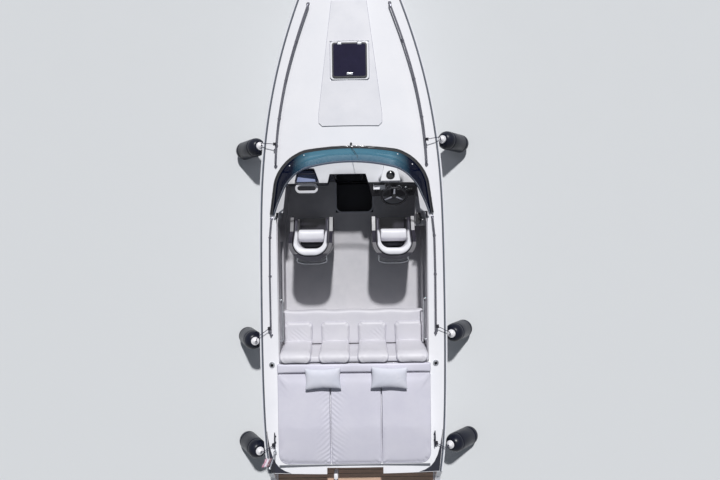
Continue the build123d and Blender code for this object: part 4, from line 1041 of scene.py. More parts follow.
# shapes of the hard pieces: each maker gives points and faces, and several are joined into one piece
def joined(shapes):
    points, faces = [], []
    for morePoints, moreFaces in shapes:
        start = len(points)
        points += list(morePoints)
        faces += [tuple(index + start for index in face) for face in moreFaces]
    return points, faces


def frameAt(place, up, across=None):
    # matrix with its z along up
    up = Vector(up).normalized()
    across = Vector(across) if across else (Vector((1, 0, 0)) if abs(up.x) < 0.9 else Vector((0, 1, 0)))
    side = (across - up * across.dot(up)).normalized()
    along = up.cross(side)
    turn = Matrix((side, along, up)).transposed().to_4x4()
    return Matrix.Translation(Vector(place)) @ turn


def around(count):
    # angles spread evenly round a circle
    return [2 * math.pi * k / count for k in range(count)]


def latheShape(profile, place, up=(0, 0, 1), segments=28, across=None):
    # profile rows are radius and height; a radius of 0 closes the end
    frameMatrix = frameAt(place, up, across)
    points, rings, faces = [], [], []
    for radius, height in profile:
        if radius <= 1e-6:
            rings.append([len(points)])
            points.append(frameMatrix @ Vector((0, 0, height)))
            continue
        rings.append(list(range(len(points), len(points) + segments)))
        for turn in around(segments):
            points.append(frameMatrix @ Vector((radius * math.cos(turn), radius * math.sin(turn), height)))
    for low, high in zip(rings, rings[1:]):
        if len(low) == 1:
            faces += [(low[0], high[(k + 1) % segments], high[k]) for k in range(segments)]
        elif len(high) == 1:
            faces += [(low[k], low[(k + 1) % segments], high[0]) for k in range(segments)]
        else:
            faces += joinRings(low, high)
    if len(rings[0]) > 1:
        faces.append(tuple(reversed(rings[0])))
    if len(rings[-1]) > 1:
        faces.append(tuple(rings[-1]))
    return points, faces


def roundBar(place, normal, other, radius, sides):
    return [place + (normal * math.cos(turn) + other * math.sin(turn)) * radius for turn in around(sides)]


def tubeShape(path, radius, sides=12, taper=1.0):
    # round bar along a line; taper is the share of the radius at each end
    path = [Vector(point) for point in path]
    points, normal, count = [], None, len(path)
    for k, place in enumerate(path):
        along = (path[min(k + 1, count - 1)] - path[max(k - 1, 0)]).normalized()
        if normal is None:
            normal = along.orthogonal().normalized()
        normal = (normal - along * normal.dot(along)).normalized()
        size = radius * taper if k in (0, count - 1) else radius
        points += roundBar(place, normal, along.cross(normal), size, sides)
    return points, bandFaces(count, sides) + endFaces(count, sides)


def loopShape(path, radius, sides=10):
    # round bar along a closed line
    path = [Vector(point) for point in path]
    points, count, upright = [], len(path), 0.2
    for k, place in enumerate(path):
        along = (path[(k + 1) % count] - path[k - 1]).normalized()
        normal = Vector((0, 0, 1)).cross(along)
        if normal.length < upright:
            normal = Vector((1, 0, 0)).cross(along)
        normal.normalize()
        points += roundBar(place, normal, along.cross(normal), radius, sides)
    return points, bandFaces(count, sides, closed=True)


def roundRect(width, length, corner, steps=5):
    outline = []
    for number, (sx, sy) in enumerate(((1, -1), (1, 1), (-1, 1), (-1, -1))):
        cx, cy = sx * (width / 2 - corner), sy * (length / 2 - corner)
        for step in range(steps + 1):
            turn = math.pi / 2 * (number - 1 + step / steps)
            outline.append((cx + corner * math.cos(turn), cy + corner * math.sin(turn)))
    return outline


def insetLine(outline, inset):
    moved = []
    count = len(outline)
    for k in range(count):
        before, here, after = Vector(outline[k - 1]), Vector(outline[k]), Vector(outline[(k + 1) % count])
        first, second = (here - before).normalized(), (after - here).normalized()
        normal = Vector((-(first.y + second.y), first.x + second.x))
        if normal.length < 1e-6:
            normal = Vector((-first.y, first.x))
        normal.normalize()
        cosine = max(normal.dot(Vector((-first.y, first.x))), 0.4)
        moved.append(here + normal * inset / cosine)
    return [(point.x, point.y) for point in moved]


def slabShape(outline, thick, edge, matrix=None):
    # plate over an anticlockwise outline, its top edge rounded
    matrix = matrix or Matrix()
    rings = [(0.0, 0.0), (0.0, thick - edge), (edge * 0.3, thick - edge * 0.3), (edge, thick)]
    points = []
    for inset, height in rings:
        for x, y in insetLine(outline, inset) if inset else outline:
            points.append(matrix @ Vector((x, y, height)))
    return points, bandFaces(len(rings), len(outline)) + endFaces(len(rings), len(outline))


def spaced(first, last, count):
    # places from first to last in count steps, without the last
    return [tuple(a + (b - a) * step / count for a, b in zip(first, last)) for step in range(count)]


def heightOn(name, x, y, top=3.0):
    hit, place, normal, index = nodes[name].ray_cast(Vector((x, y, top)), Vector((0, 0, -1)))
    return place.z if hit else None


def hardPiece(name, shapes, finish, body):
    points, faces = joined(shapes)
    piece = addPiece(name, points, faces, finish, body)
    shell = bmesh.new()
    shell.from_mesh(piece.data)
    bmesh.ops.recalc_face_normals(shell, faces=shell.faces)
    shell.to_mesh(piece.data)
    shell.free()
    piece.data.set_sharp_from_angle(angle=math.radians(38))
    return piece


# piping along the edges of the pads
piping = {"radius": 0.003, "sides": 6}


def pipe(name, pads, body, lift):
    shapes = []
    for piece, facts in pads:
        ring = [piece.data.vertices[index].co + Vector((0, 0, lift)) for index in facts["ring"]]
        shapes.append(tubeShape(ring + ring[:1], piping["radius"], piping["sides"]))
    hardPiece(name, shapes, "pipingGrey", body)


pipe("sunpad_piping", sunpadPieces + [(headrestStrip, headrestFacts)], "engine_lid", 0.003)
pipe("bench_pad_piping", bucketPads, "boat", 0.0)

# rails: rows of x and y on the deck from bow to stern, drawn on both sides
bowRail = {"rows": [(0.535, 2.560), (0.700, 2.100), (0.846, 1.600), (0.945, 1.100), (0.988, 0.740), (1.003, 0.500)],
           "lift": 0.055, "radius": 0.0125, "post": 0.008, "reach": 0.030, "drop": 0.026, "rake": 0.002,
           "bend": 0.02, "smooth": 6}
sideRail = {"rows": [(1.077, -0.252), (1.103, -0.480), (1.112, -1.000), (1.112, -1.778)], "lift": 0.048,
            "radius": 0.011, "post": 0.008, "reach": 0.022, "bend": 0.035}
railFlange = [(2.1, 0.0), (2.1, 0.003), (1.5, 0.006), (1.05, 0.009)]  # shares of the bar's radius, and heights
innerRail = {"wall": 1.000, "stand": 0.038, "front": -1.330, "aft": -1.890, "z": 0.745, "radius": 0.009,
             "bend": 0.02, "flange": [(0.018, 0), (0.018, 0.003), (0.010, 0.006)]}
postTop = 0.004  # how far below a rail's middle its posts end


def railFoot(place, radius):
    return latheShape([(radius * share, height) for share, height in railFlange], place)


def railPosts(line, rail):
    shapes = []
    for x, y, z in line[1:-1]:
        shapes.append(tubeShape([(x, y, z - postTop), (x, y, z - rail["lift"])], rail["post"], 12))
        shapes.append(railFoot((x, y, z - rail["lift"]), rail["radius"]))
    return shapes


def smoothThrough(line, steps):
    # a smooth line through every point
    run = []
    for k in range(len(line) - 1):
        before, a, b, after = (Vector(line[min(max(k + offset, 0), len(line) - 1)]) for offset in (-1, 0, 1, 2))
        for step in range(steps):
            t = step / steps
            run.append(0.5 * (2 * a + (b - before) * t + (2 * before - 5 * a + 4 * b - after) * t * t
                              + (3 * a - before - 3 * b + after) * t ** 3))
    return run + [Vector(line[-1])]


def makeBowRail(name, side):
    radius, drop, rake, bend = bowRail["radius"], bowRail["drop"], bowRail["rake"], bowRail["bend"]
    line = [(side * x, y, heightOn("deck", side * x, y) + bowRail["lift"]) for x, y in bowRail["rows"]]
    top = smoothThrough(line, bowRail["smooth"])
    ends = []
    for point, reach in ((line[0], bowRail["reach"]), (line[-1], -bowRail["reach"])):
        x, y = point[0], point[1] + reach
        ends.append(Vector((x, y, heightOn("deck", x, y))))
    fore = [ends[0], Vector((ends[0].x, ends[0].y - rake, line[0][2] - drop)), top[0]]
    aft = [top[-1], Vector((ends[1].x, ends[1].y + rake, line[-1][2] - drop)), ends[1]]
    path = roundedLine(fore, bend, 4)[:-1] + top + roundedLine(aft, bend, 4)[1:]
    shapes = [tubeShape(path, radius, 14), railFoot(ends[0], radius), railFoot(ends[1], radius)]
    rail = hardPiece(f"bow_rail_{name}", shapes + railPosts(line, bowRail), "railSteel", "boat")
    if side < 0:
        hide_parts("hand_rails")


def makeSideRail(name, side):
    route = [(side * x, y, heightOn("deck", side * x, y) + sideRail["lift"]) for x, y in sideRail["rows"]]
    fore, aft = ((x, y + reach, heightOn("deck", x, y + reach)) for (x, y, z), reach in
                 ((route[0], sideRail["reach"]), (route[-1], -sideRail["reach"])))
    corners = [fore, (*fore[:2], route[0][2])] + route[1:-1] + [(*aft[:2], route[-1][2]), aft]
    shapes = [tubeShape(roundedLine(corners, sideRail["bend"], 7), sideRail["radius"], 14)]
    shapes += [railFoot(foot, sideRail["radius"]) for foot in (fore, aft)]
    hardPiece(f"side_rail_{name}", shapes + railPosts(route, sideRail), "railSteel", "boat")


def makeCockpitRail(name, side):
    wall, stand = side * innerRail["wall"], side * (innerRail["wall"] - innerRail["stand"])
    front, aft, z = innerRail["front"], innerRail["aft"], innerRail["z"]
    route = [(wall, front, z), (stand, front, z), (stand, aft, z), (wall, aft, z)]
    shapes = [tubeShape(roundedLine(route, innerRail["bend"], 5), innerRail["radius"], 12)]
    shapes += [latheShape(innerRail["flange"], (wall, y, z), (-side, 0, 0)) for y in (front, aft)]
    hardPiece(f"cockpit_rail_{name}", shapes, "stainlessSteel", "boat")


for name, side in (("port", -1), ("starboard", 1)):
    makeBowRail(name, side)
    makeSideRail(name, side)
    makeCockpitRail(name, side)

# fenders: name, side, lean, lower centre, then the line's knot and the bend over the rub rail on its way to the cap
fenderTable = [
    ("port_fore", -1, 38, (-1.581, 0.815, 0.112), (-1.005, 0.752, 0.985), (-1.197, 0.7835, 0.899)),
    ("starboard_fore", 1, 41, (1.601, 0.880, 0.112), (1.005, 0.790, 0.985), (1.191, 0.835, 0.901)),
    ("port_middle", -1, 24, (-1.576, -1.925, 0.112), (-1.130, -1.700, 0.860), (-1.289, -1.8125, 0.825)),
    ("starboard_middle", 1, 31, (1.618, -1.860, 0.112), (1.130, -1.700, 0.860), (1.289, -1.780, 0.826)),
    ("port_aft", -1, 31, (-1.587, -3.475, 0.112), (-1.104, -3.290, 0.795), (-1.244, -3.3825, 0.785)),
    ("starboard_aft", 1, 44, (1.680, -3.445, 0.112), (1.104, -3.290, 0.795), (1.245, -3.3675, 0.786)),
]
# grooves are height and depth on the tube; capRows are shares of the cap's radius, and heights
fenderShape = {"length": 0.620, "radius": 0.1305, "cap": 0.0572, "rope": 0.005, "turns": 4, "grip": 0.0165,
               "hitch": 0.038, "pitch": 0.026, "seat": 0.022, "knot": 0.011, "knotRise": 0.008, "knotRope": 0.0045,
               "eye": 0.044, "bend": 0.05, "bandAt": 0.30, "mouth": (0.0575, 0.054), "mouthDepth": 0.021,
               "grooves": [(0.012, 0.0), (0.018, 0.004), (0.030, 0.004), (0.036, 0.0)],
               "capRows": [(1, 0.001), (1, 0.016), (0.95, 0.021), (0.80, 0.024), (0.74, 0.0235), (0.70, 0.028),
                           (0.62, 0.034), (0.42, 0.038), (0.36, 0.046), (0.24, 0.051), (0.16, 0.0515),
                           (0.14, 0.030), (0.0, 0.030)]}


def strands(path, radius, pitch, sides=5):
    # three strands laid round each other along a line
    path = [Vector(point) for point in path]
    marks = lengthMarks(path)
    count = max(int(marks[-1] / pitch * 7), 8)
    places, k = [], 0
    for step in range(count + 1):
        distance = marks[-1] * step / count
        while k < len(marks) - 2 and marks[k + 1] < distance:
            k += 1
        places.append(path[k].lerp(path[k + 1], min(max((distance - marks[k]) / (marks[k + 1] - marks[k]), 0), 1)))
    shapes = []
    for strand in range(3):
        line = []
        for step, place in enumerate(places):
            along = (places[min(step + 1, count)] - places[max(step - 1, 0)]).normalized()
            side = along.cross(Vector((0.3, 0.2, 1))).normalized()
            other = along.cross(side)
            turn = 2 * math.pi * (marks[-1] * step / count / pitch + strand / 3)
            line.append(place + (side * math.cos(turn) + other * math.sin(turn)) * radius * 0.48)
        shapes.append(tubeShape(line, radius * 0.55, sides))
    return shapes


def fenderProfile():
    radius = fenderShape["radius"]
    reach = fenderShape["length"] - 2 * radius
    profile = [(0.0, -radius)]
    for step in range(1, 11):
        turn = math.pi / 2 * (1 - step / 10)
        profile.append((radius * math.cos(turn), -radius * math.sin(turn)))
    profile += [(radius - dip, at) for at, dip in fenderShape["grooves"]] + [(radius, fenderShape["bandAt"])]
    profile += [(radius - dip, reach - at) for at, dip in reversed(fenderShape["grooves"])]
    for step in range(11):
        turn = math.pi / 2 * step / 10
        if radius * math.sin(turn) > radius - fenderShape["seat"]:
            break
        profile.append((radius * math.cos(turn), reach + radius * math.sin(turn)))
    profile += [(mouth, reach + radius - fenderShape["mouthDepth"]) for mouth in fenderShape["mouth"]]
    return profile, reach


def makeFenders():
    cap, rope, grip = fenderShape["cap"], fenderShape["rope"], fenderShape["grip"]
    profile, reach = fenderProfile()
    for number, (name, side, leanAngle, low, start, over) in enumerate(fenderTable):
        lean = math.radians(leanAngle)
        up = Vector((-side * math.sin(lean), 0, math.cos(lean)))
        low, start = Vector(low), Vector(start)
        body = hardPiece(f"fender_body_{name}", [latheShape(profile, low, up, 44)], "fenderVinyl", "boat")
        crown = low + up * (reach + fenderShape["radius"] - fenderShape["seat"])
        capRows = [(cap * share, height) for share, height in fenderShape["capRows"]]
        capPiece = hardPiece(f"fender_cap_{name}", [latheShape(capRows, crown, up, 36)], "fenderCap", "boat")
        top = crown + up * fenderShape["eye"]
        route = roundedLine([start, Vector(over), top], fenderShape["bend"])
        shapes = strands(route, rope, fenderShape["pitch"])
        knot = []
        for step in range(33):
            turn = 2 * math.pi * step / 32
            flat = Vector((fenderShape["knot"] * math.cos(turn), fenderShape["knot"] * math.sin(turn), 0))
            knot.append(top + up * (fenderShape["knotRise"] * math.sin(2 * turn)) + flat)
        shapes.append(tubeShape(knot, fenderShape["knotRope"], 6))
        ropePiece = hardPiece(f"fender_line_{name}", shapes, "darkRope", "boat")
        hitch = []
        count = 16 * fenderShape["turns"]
        for step in range(count + 1):
            turn = 2 * math.pi * step / 16
            drift = (step / count - 0.5) * fenderShape["hitch"]
            hitch.append(start + Vector((grip * math.cos(turn), drift, grip * math.sin(turn))))
        hardPiece(f"fender_hitch_{name}", [tubeShape(hitch, rope, 8)], "blackRope", "boat")
        if number == 0:
            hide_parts("fenders")
            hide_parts("fender_caps")
            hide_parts("fender_lines")


makeFenders()
print("rails and fenders done")

# cleats with tapered horns on two feet
cleatTable = [("port_aft", -1.086, -3.230, 0.046), ("starboard_aft", 1.086, -3.230, 0.046),
              ("port_fore", -0.470, 2.880, 0.046), ("starboard_fore", 0.470, 2.880, 0.046)]
cleatShape = {"half": [(0.0, 0.1125), (0.0055, 0.110), (0.0072, 0.095), (0.0088, 0.055), (0.010, 0.030)],
              "foot": [(0.016, -0.001), (0.016, 0.003), (0.0095, 0.008), (0.007, 0.016)], "feet": (-0.042, 0.042)}


def makeCleats():
    half = cleatShape["half"]
    horns = [(radius, -height) for radius, height in half] + half[::-1]
    for number, (name, x, y, lift) in enumerate(cleatTable):
        z = heightOn("deck", x, y) + lift
        shapes = [latheShape(horns, (x, y, z), (0, 1, 0), 18)]
        for step in cleatShape["feet"]:
            foot = heightOn("deck", x, y + step)
            profile = cleatShape["foot"] + [(0.007, z - foot)]
            shapes.append(latheShape(profile, (x, y + step, foot), (0, 0, 1), 18))
        cleat = hardPiece(f"cleat_{name}", shapes, "darkSteel", "boat")
        if number == 0:
            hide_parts("cleats")


makeCleats()

# steering wheel on the sloping console face
wheelShape = {"middle": (0.569, 0.1375, 0.820), "up": (0.0, -0.78804, 0.61563), "off": 0.112, "radius": 0.165,
              "rim": 0.0145, "grip": 0.05, "spokeAt": (0.088, 0, -0.0105),
              "spoke": [(-0.064, -0.015), (0.066, -0.010), (0.068, 0.010), (-0.064, 0.015)],
              "hub": [(0.030, -0.042), (0.030, -0.012), (0.034, -0.008), (0.034, 0.0), (0.030, 0.003), (0.012, 0.004),
                      (0.0, 0.004)]}


def wheelMatrix(off):
    up = Vector(wheelShape["up"])
    return frameAt(Vector(wheelShape["middle"]) + up * off, up, (1, 0, 0))


def makeWheel():
    face = wheelMatrix(wheelShape["off"])
    segments, sides = 72, 12
    points = []
    for turn in around(segments):
        grip = 1.0 + wheelShape["grip"] * max(math.cos(3 * (turn - math.pi / 2)), 0) ** 8
        for angle in around(sides):
            size = wheelShape["rim"] * grip
            across = wheelShape["radius"] + size * math.cos(angle)
            points.append(face @ Vector((across * math.cos(turn), across * math.sin(turn), size * math.sin(angle))))
    faces = bandFaces(segments, sides, closed=True, flip=True)
    rim = addPiece("wheel_rim", points, faces, "wheelLeather", "steering_wheel")
    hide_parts("steering_wheel")
    place = Matrix.Translation(wheelShape["spokeAt"])
    shapes = []
    for angle in (90, 210, 330):
        turn = face @ Matrix.Rotation(math.radians(angle), 4, "Z") @ place
        shapes.append(slabShape(wheelShape["spoke"], 0.007, 0.002, turn))
    hardPiece("wheel_spokes", shapes, "brushedSteel", "steering_wheel")
    hub = latheShape(wheelShape["hub"], face @ Vector((0, 0, 0)), wheelShape["up"], 32)
    hardPiece("wheel_hub", [hub], "blackPlastic", "steering_wheel")


makeWheel()

# pieces that follow the deck, the windshield's foot and the dash
def edgeOf(name, centre, turn, inset):
    # a node's outermost place in one direction of the plan, brought in by a little
    aim = Vector((math.cos(turn), math.sin(turn)))
    reach, nearest, step = 1.25, 0.2, 0.004
    while reach > nearest and heightOn(name, centre[0] + aim.x * reach, centre[1] + aim.y * reach) is None:
        reach -= step
    reach -= inset
    x, y = centre[0] + aim.x * reach, centre[1] + aim.y * reach
    return Vector((x, y, heightOn(name, x, y) or 0.0))


def drapedShape(node, rows, columns, low, high):
    # closed strip laid over a node; each row has its place along the boat and the x of both its edges
    points = []
    length = columns + 1
    for lift in (high, low):
        for y, first, last in rows:
            for k in range(length):
                x = first + (last - first) * k / columns
                points.append(Vector((x, y, heightOn(node, x, y) + lift)))
    under = len(rows) * length
    faces = gridFaces(len(rows), length, flip=True)
    faces += [tuple(under + index for index in face) for face in gridFaces(len(rows), length)]
    rim = gridEdge(len(rows), length)
    return points, faces + joinRings(rim, [under + index for index in rim])


# dark navy strips laid over the deck at the stern corners, widening aft
quarterDarkStrip = {"rows": [(-3.120, 1.194, 1.198), (-3.200, 1.186, 1.194), (-3.336, 1.163, 1.184), (-3.472, 1.124, 1.172),
                        (-3.560, 1.080, 1.162), (-3.620, 1.030, 1.156), (-3.664, 0.955, 1.151), (-3.693, 0.870, 1.147)],
               "low": -0.004, "high": 0.0028}


def makeQuarterDarkStrips():
    for name, side in (("port", -1), ("starboard", 1)):
        rows = [(y, side * inner, side * outer) for y, inner, outer in quarterDarkStrip["rows"]]
        strip = drapedShape("deck", rows, 5, quarterDarkStrip["low"], quarterDarkStrip["high"])
        hardPiece(f"quarter_dark_strip_{name}", [strip], "darkNavy", "boat")


makeQuarterDarkStrips()

# moulding over the windshield's foot, buttons on its corners
screenTrim = {"centre": (0.0, 0.02), "from": -10, "to": 190, "step": 2, "inset": 0.015, "radius": 0.0125,
              "sink": 0.003, "buttons": [(0.800, 0.452), (0.610, 0.585)], "lean": (0.45, 0.35, 0.8),
              "button": [(0.009, -0.004), (0.009, 0.003), (0.006, 0.006), (0.0, 0.0065)]}


def makeScreenTrim():
    path = []
    for angle in range(screenTrim["from"], screenTrim["to"] + 1, screenTrim["step"]):
        place = edgeOf("windshield_foot", screenTrim["centre"], math.radians(angle), screenTrim["inset"])
        if place.z:
            path.append(place - Vector((0, 0, screenTrim["sink"])))
    moulding = tubeShape(path, screenTrim["radius"], 12)
    hardPiece("windshield_moulding", [moulding], "glossBlack", "boat")
    shapes = []
    out, ahead, up = screenTrim["lean"]
    for x, y in screenTrim["buttons"]:
        for side in (-1, 1):
            z = heightOn("windshield_glass", side * x, y)
            if z:
                shapes.append(latheShape(screenTrim["button"], (side * x, y, z), (side * out, ahead, up), 16))
    hardPiece("windshield_corner_buttons", shapes, "railWhite", "boat")


makeScreenTrim()

# wiper: motor cap, sprung arm and blade over the middle pane
wiperShape = {"foot": (0.005, 0.732), "arm": [(0.005, 0.728, 1.066), (0.012, 0.668, 1.120), (0.096, 0.520, 1.318)],
              "cap": [(0.0155, 0.0), (0.0155, 0.012), (0.013, 0.018), (0.008, 0.0215), (0.0, 0.022)],
              "armBar": 0.0042, "armTaper": 0.6, "armBend": 0.03, "blade": 0.30, "below": 0.78, "bladeBar": 0.0032,
              "bladeTaper": 0.5, "sunk": 0.002, "clips": (0.12, 0.37, 0.63, 0.88), "clipBar": 0.0036, "clipOut": 0.005}


def makeWiper():
    x, y = wiperShape["foot"]
    z = heightOn("deck", x, y) + 0.001
    arm = roundedLine(wiperShape["arm"], wiperShape["armBend"])
    shapes = [latheShape(wiperShape["cap"], (x, y, z), (0, 0, 1), 24),
              tubeShape(arm, wiperShape["armBar"], 8, wiperShape["armTaper"])]
    low, high = Vector(wiperShape["arm"][1]), Vector(wiperShape["arm"][2])
    along = (high - low).normalized()
    start, end = high - along * wiperShape["blade"] * wiperShape["below"], high + along * wiperShape["sunk"]
    outward = Vector((1, 0, 0)).cross(along).normalized()
    if outward.z < 0:
        outward = -outward
    sunk = outward * wiperShape["sunk"]
    shapes.append(tubeShape([start - sunk, end - sunk], wiperShape["bladeBar"], 8, wiperShape["bladeTaper"]))
    for share in wiperShape["clips"]:
        at = start.lerp(end, share)
        shapes.append(tubeShape([at - sunk, at + outward * wiperShape["clipOut"]], wiperShape["clipBar"], 8))
    wiper = hardPiece("wiper_arm_and_blade", shapes, "blackPlastic", "boat")
    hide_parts("wiper")


makeWiper()

# compass: a dark bowl, drawn as shares of its radius and heights, and a dark dome
compassShape = {"place": (0.515, 0.318, 1.059), "radius": 0.0565, "dome": 0.046, "domeHeight": 0.016, "lift": 0.0095,
                "bowl": [(1, 0.0), (1, 0.006), (0.93, 0.011), (0.84, 0.012), (0.82, 0.009), (0.0, 0.009)]}


def makeCompass():
    radius, height = compassShape["dome"], compassShape["domeHeight"]
    bowl = [(compassShape["radius"] * share, z) for share, z in compassShape["bowl"]]
    x, y, z = compassShape["place"]
    shape = latheShape(bowl, (x, y, z), (0, 0, 1), 40)
    piece = hardPiece("compass_bowl", [shape], "blackPlastic", "boat")
    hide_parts("compass")
    dome = [(radius, 0.0)]
    for step in range(1, 8):
        turn = math.pi / 2 * step / 8
        dome.append((radius * math.cos(turn), height * math.sin(turn)))
    dome.append((0.0, height))
    shape = latheShape(dome, (x, y, z + compassShape["lift"]), (0, 0, 1), 40)
    hardPiece("compass_dome", [shape], "glossBlack", "boat")


makeCompass()

# dark lines along the sides of the raised compass pod on the dash: painted shade in the gaps at its edges
podShadeLines = {"lines": [((0.446, 0.508), (0.384, 0.244)), ((0.586, 0.508), (0.642, 0.244))], "radius": 0.0017,
             "lift": 0.0002}


def makePodShadeLines():
    shapes = []
    for first, last in podShadeLines["lines"]:
        line = []
        for x, y in spaced(first, last, 24) + [last]:
            z = heightOn("dash_top", x, y)
            if z:
                line.append(Vector((x, y, z + podShadeLines["lift"])))
        shapes.append(tubeShape(line, podShadeLines["radius"], 6))
    hardPiece("dash_pod_shade_lines", shapes, "darkNavy", "boat")


makePodShadeLines()

# tray in the port side of the dash: a trim round its mouth and a blue-grey mat whose colour is painted shade on the
# port dash
dashTray = {"mouth": [(-0.700, 0.415), (-0.742, 0.252), (-0.440, 0.252), (-0.500, 0.415)], "floor": 0.8753,
            "trim": 0.0075, "out": -0.007, "in": 0.006, "lift": 0.001}


def makeTray():
    mouth = dashTray["mouth"]
    path = []
    for corner, after in zip(mouth, mouth[1:] + mouth[:1]):
        path += spaced(corner, after, 10)
    rim = []
    for x, y in insetLine(path, dashTray["out"]):
        rim.append(Vector((x, y, (heightOn("dash_top", x, y) or 1.0) + dashTray["lift"])))
    hardPiece("dash_tray_trim", [loopShape(rim, dashTray["trim"], 10)], "darkNavy", "boat")
    # mat colour: painted bluish shade on the port dash
    mat = slabShape(insetLine(mouth, dashTray["in"]), 0.006, 0.002, Matrix.Translation((0, 0, dashTray["floor"])))
    hardPiece("dash_tray_mat", [mat], "trayPaintedShade", "boat")


makeTray()

# helm: gauges over the wheel, each as x, y and radius on the face, and rocker switches beside it
helmPanel = {"gauges": [(-0.158, 0.040, 0.031), (-0.064, 0.058, 0.041), (0.064, 0.058, 0.041), (0.158, 0.040, 0.031)],
             "bezel": [(1, -0.001), (1, 0.006), (0.95, 0.009), (0.88, 0.0085), (0.86, 0.005), (0.0, 0.005)],
             "dial": [(0.85, 0.0045), (0.85, 0.0062), (0.0, 0.0064)],
             "switchPanels": [(-0.232, -0.012), (0.222, -0.012)],
             "switch": (0.020, 0.013), "switchApart": (0.016, 0.023), "tip": 7, "needle": 40, "sweep": (225, 270)}


def faceMatrix(x, y, lift=0.0):
    return wheelMatrix(0.0) @ Matrix.Translation((x, y, lift))


def makeHelm():
    bezels, dials, marks, rockers, plates = [], [], [], [], []
    up, across = wheelShape["up"], (1, 0, 0)
    first, sweep = helmPanel["sweep"]
    for x, y, r in helmPanel["gauges"]:
        place = faceMatrix(x, y) @ Vector((0, 0, 0))
        for shapes, rows in ((bezels, helmPanel["bezel"]), (dials, helmPanel["dial"])):
            shapes.append(latheShape([(r * share, height) for share, height in rows], place, up, 36, across))
        for step in range(9):
            turn = Matrix.Rotation(math.radians(first - sweep * step / 8), 4, "Z")
            spot = faceMatrix(x, y, 0.0062) @ turn @ Matrix.Translation((r * 0.70, 0, 0))
            marks.append(slabShape(roundRect(r * 0.18, 0.0022, 0.0004, 1), 0.0007, 0.0002, spot))
        spot = faceMatrix(x, y, 0.0064) @ Matrix.Rotation(math.radians(180 - helmPanel["needle"]), 4, "Z")
        spot = spot @ Matrix.Translation((r * 0.26, 0, 0))
        marks.append(slabShape(roundRect(r * 0.62, 0.0026, 0.0006, 1), 0.001, 0.0003, spot))
    width, length = helmPanel["switch"]
    apartX, apartY = helmPanel["switchApart"]
    tip = Matrix.Rotation(math.radians(helmPanel["tip"]), 4, "X")
    for px, py in helmPanel["switchPanels"]:
        plates.append(slabShape(roundRect(0.070, 0.100, 0.008), 0.003, 0.001, faceMatrix(px, py, -0.0005)))
        for row in range(4):
            for column in (-1, 1):
                spot = faceMatrix(px + column * apartX, py + (row - 1.5) * apartY, 0.002) @ tip
                rockers.append(slabShape(roundRect(width, length, 0.003), 0.006, 0.002, spot))
    hardPiece("gauge_bezels", bezels, "brushedSteel", "boat")
    hardPiece("gauge_dials", dials, "glossBlack", "boat")
    hardPiece("gauge_marks", marks, "railWhite", "boat")
    hardPiece("switch_plates", plates, "blackFrame", "boat")
    hardPiece("rocker_switches", rockers, "blackPlastic", "boat")


makeHelm()

# throttle on the side console
throttleShape = {"foot": (0.905, -0.238, 0.681), "box": (0.070, 0.150, 0.018), "pivotAt": (0.944, -0.238, 0.703),
                 "lever": [(0.945, -0.238, 0.705), (0.958, -0.238, 0.735), (0.958, -0.262, 0.832)],
                 "pivot": [(0.015, -0.010), (0.015, 0.008), (0.012, 0.010), (0.0, 0.010)],
                 "knobAt": (0.958, -0.264, 0.842),
                 "knob": [(0.0, -0.030), (0.009, -0.029), (0.0125, -0.024), (0.013, 0.0), (0.0125, 0.024),
                          (0.009, 0.029), (0.0, 0.030)]}


def makeThrottle():
    box = slabShape(roundRect(*throttleShape["box"]), 0.042, 0.012, Matrix.Translation(throttleShape["foot"]))
    pivot = latheShape(throttleShape["pivot"], throttleShape["pivotAt"], (1, 0, 0), 28)
    housing = hardPiece("throttle_housing", [box, pivot], "glossBlack", "boat")
    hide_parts("throttle")
    lever = tubeShape(roundedLine(throttleShape["lever"], 0.02, 6), 0.0065, 12)
    hardPiece("throttle_lever", [lever], "brushedSteel", "boat")
    knob = latheShape(throttleShape["knob"], throttleShape["knobAt"], (1, 0, 0), 28)
    hardPiece("throttle_knob", [knob], "glossBlack", "boat")


makeThrottle()

# hatch: hinge straps ahead, a latch aft, and the shadow line round its frame; panel groove on the foredeck
hatchTrim = {"y": 1.812, "latch": (0.0, 0.182, 0.078, 0.034), "strap": (0.130, 0.213, 0.052, 0.030), "frame": 0.510,
             "panel": [(-0.228, 2.600), (-0.412, 1.130), (-0.412, 1.010), (-0.370, 0.968), (0.370, 0.968),
                       (0.412, 1.010), (0.412, 1.130), (0.228, 2.600)], "groove": 0.0026, "lidSpot": 0.22,
             "lidThick": 0.030, "frameCorner": 0.046, "lift": 0.001, "grooveStep": 0.06, "grooveOut": -0.003}


def deckSlope(y, x=0.30, reach=0.2):
    return (heightOn("deck", x, y + reach) - heightOn("deck", x, y - reach)) / (2 * reach)


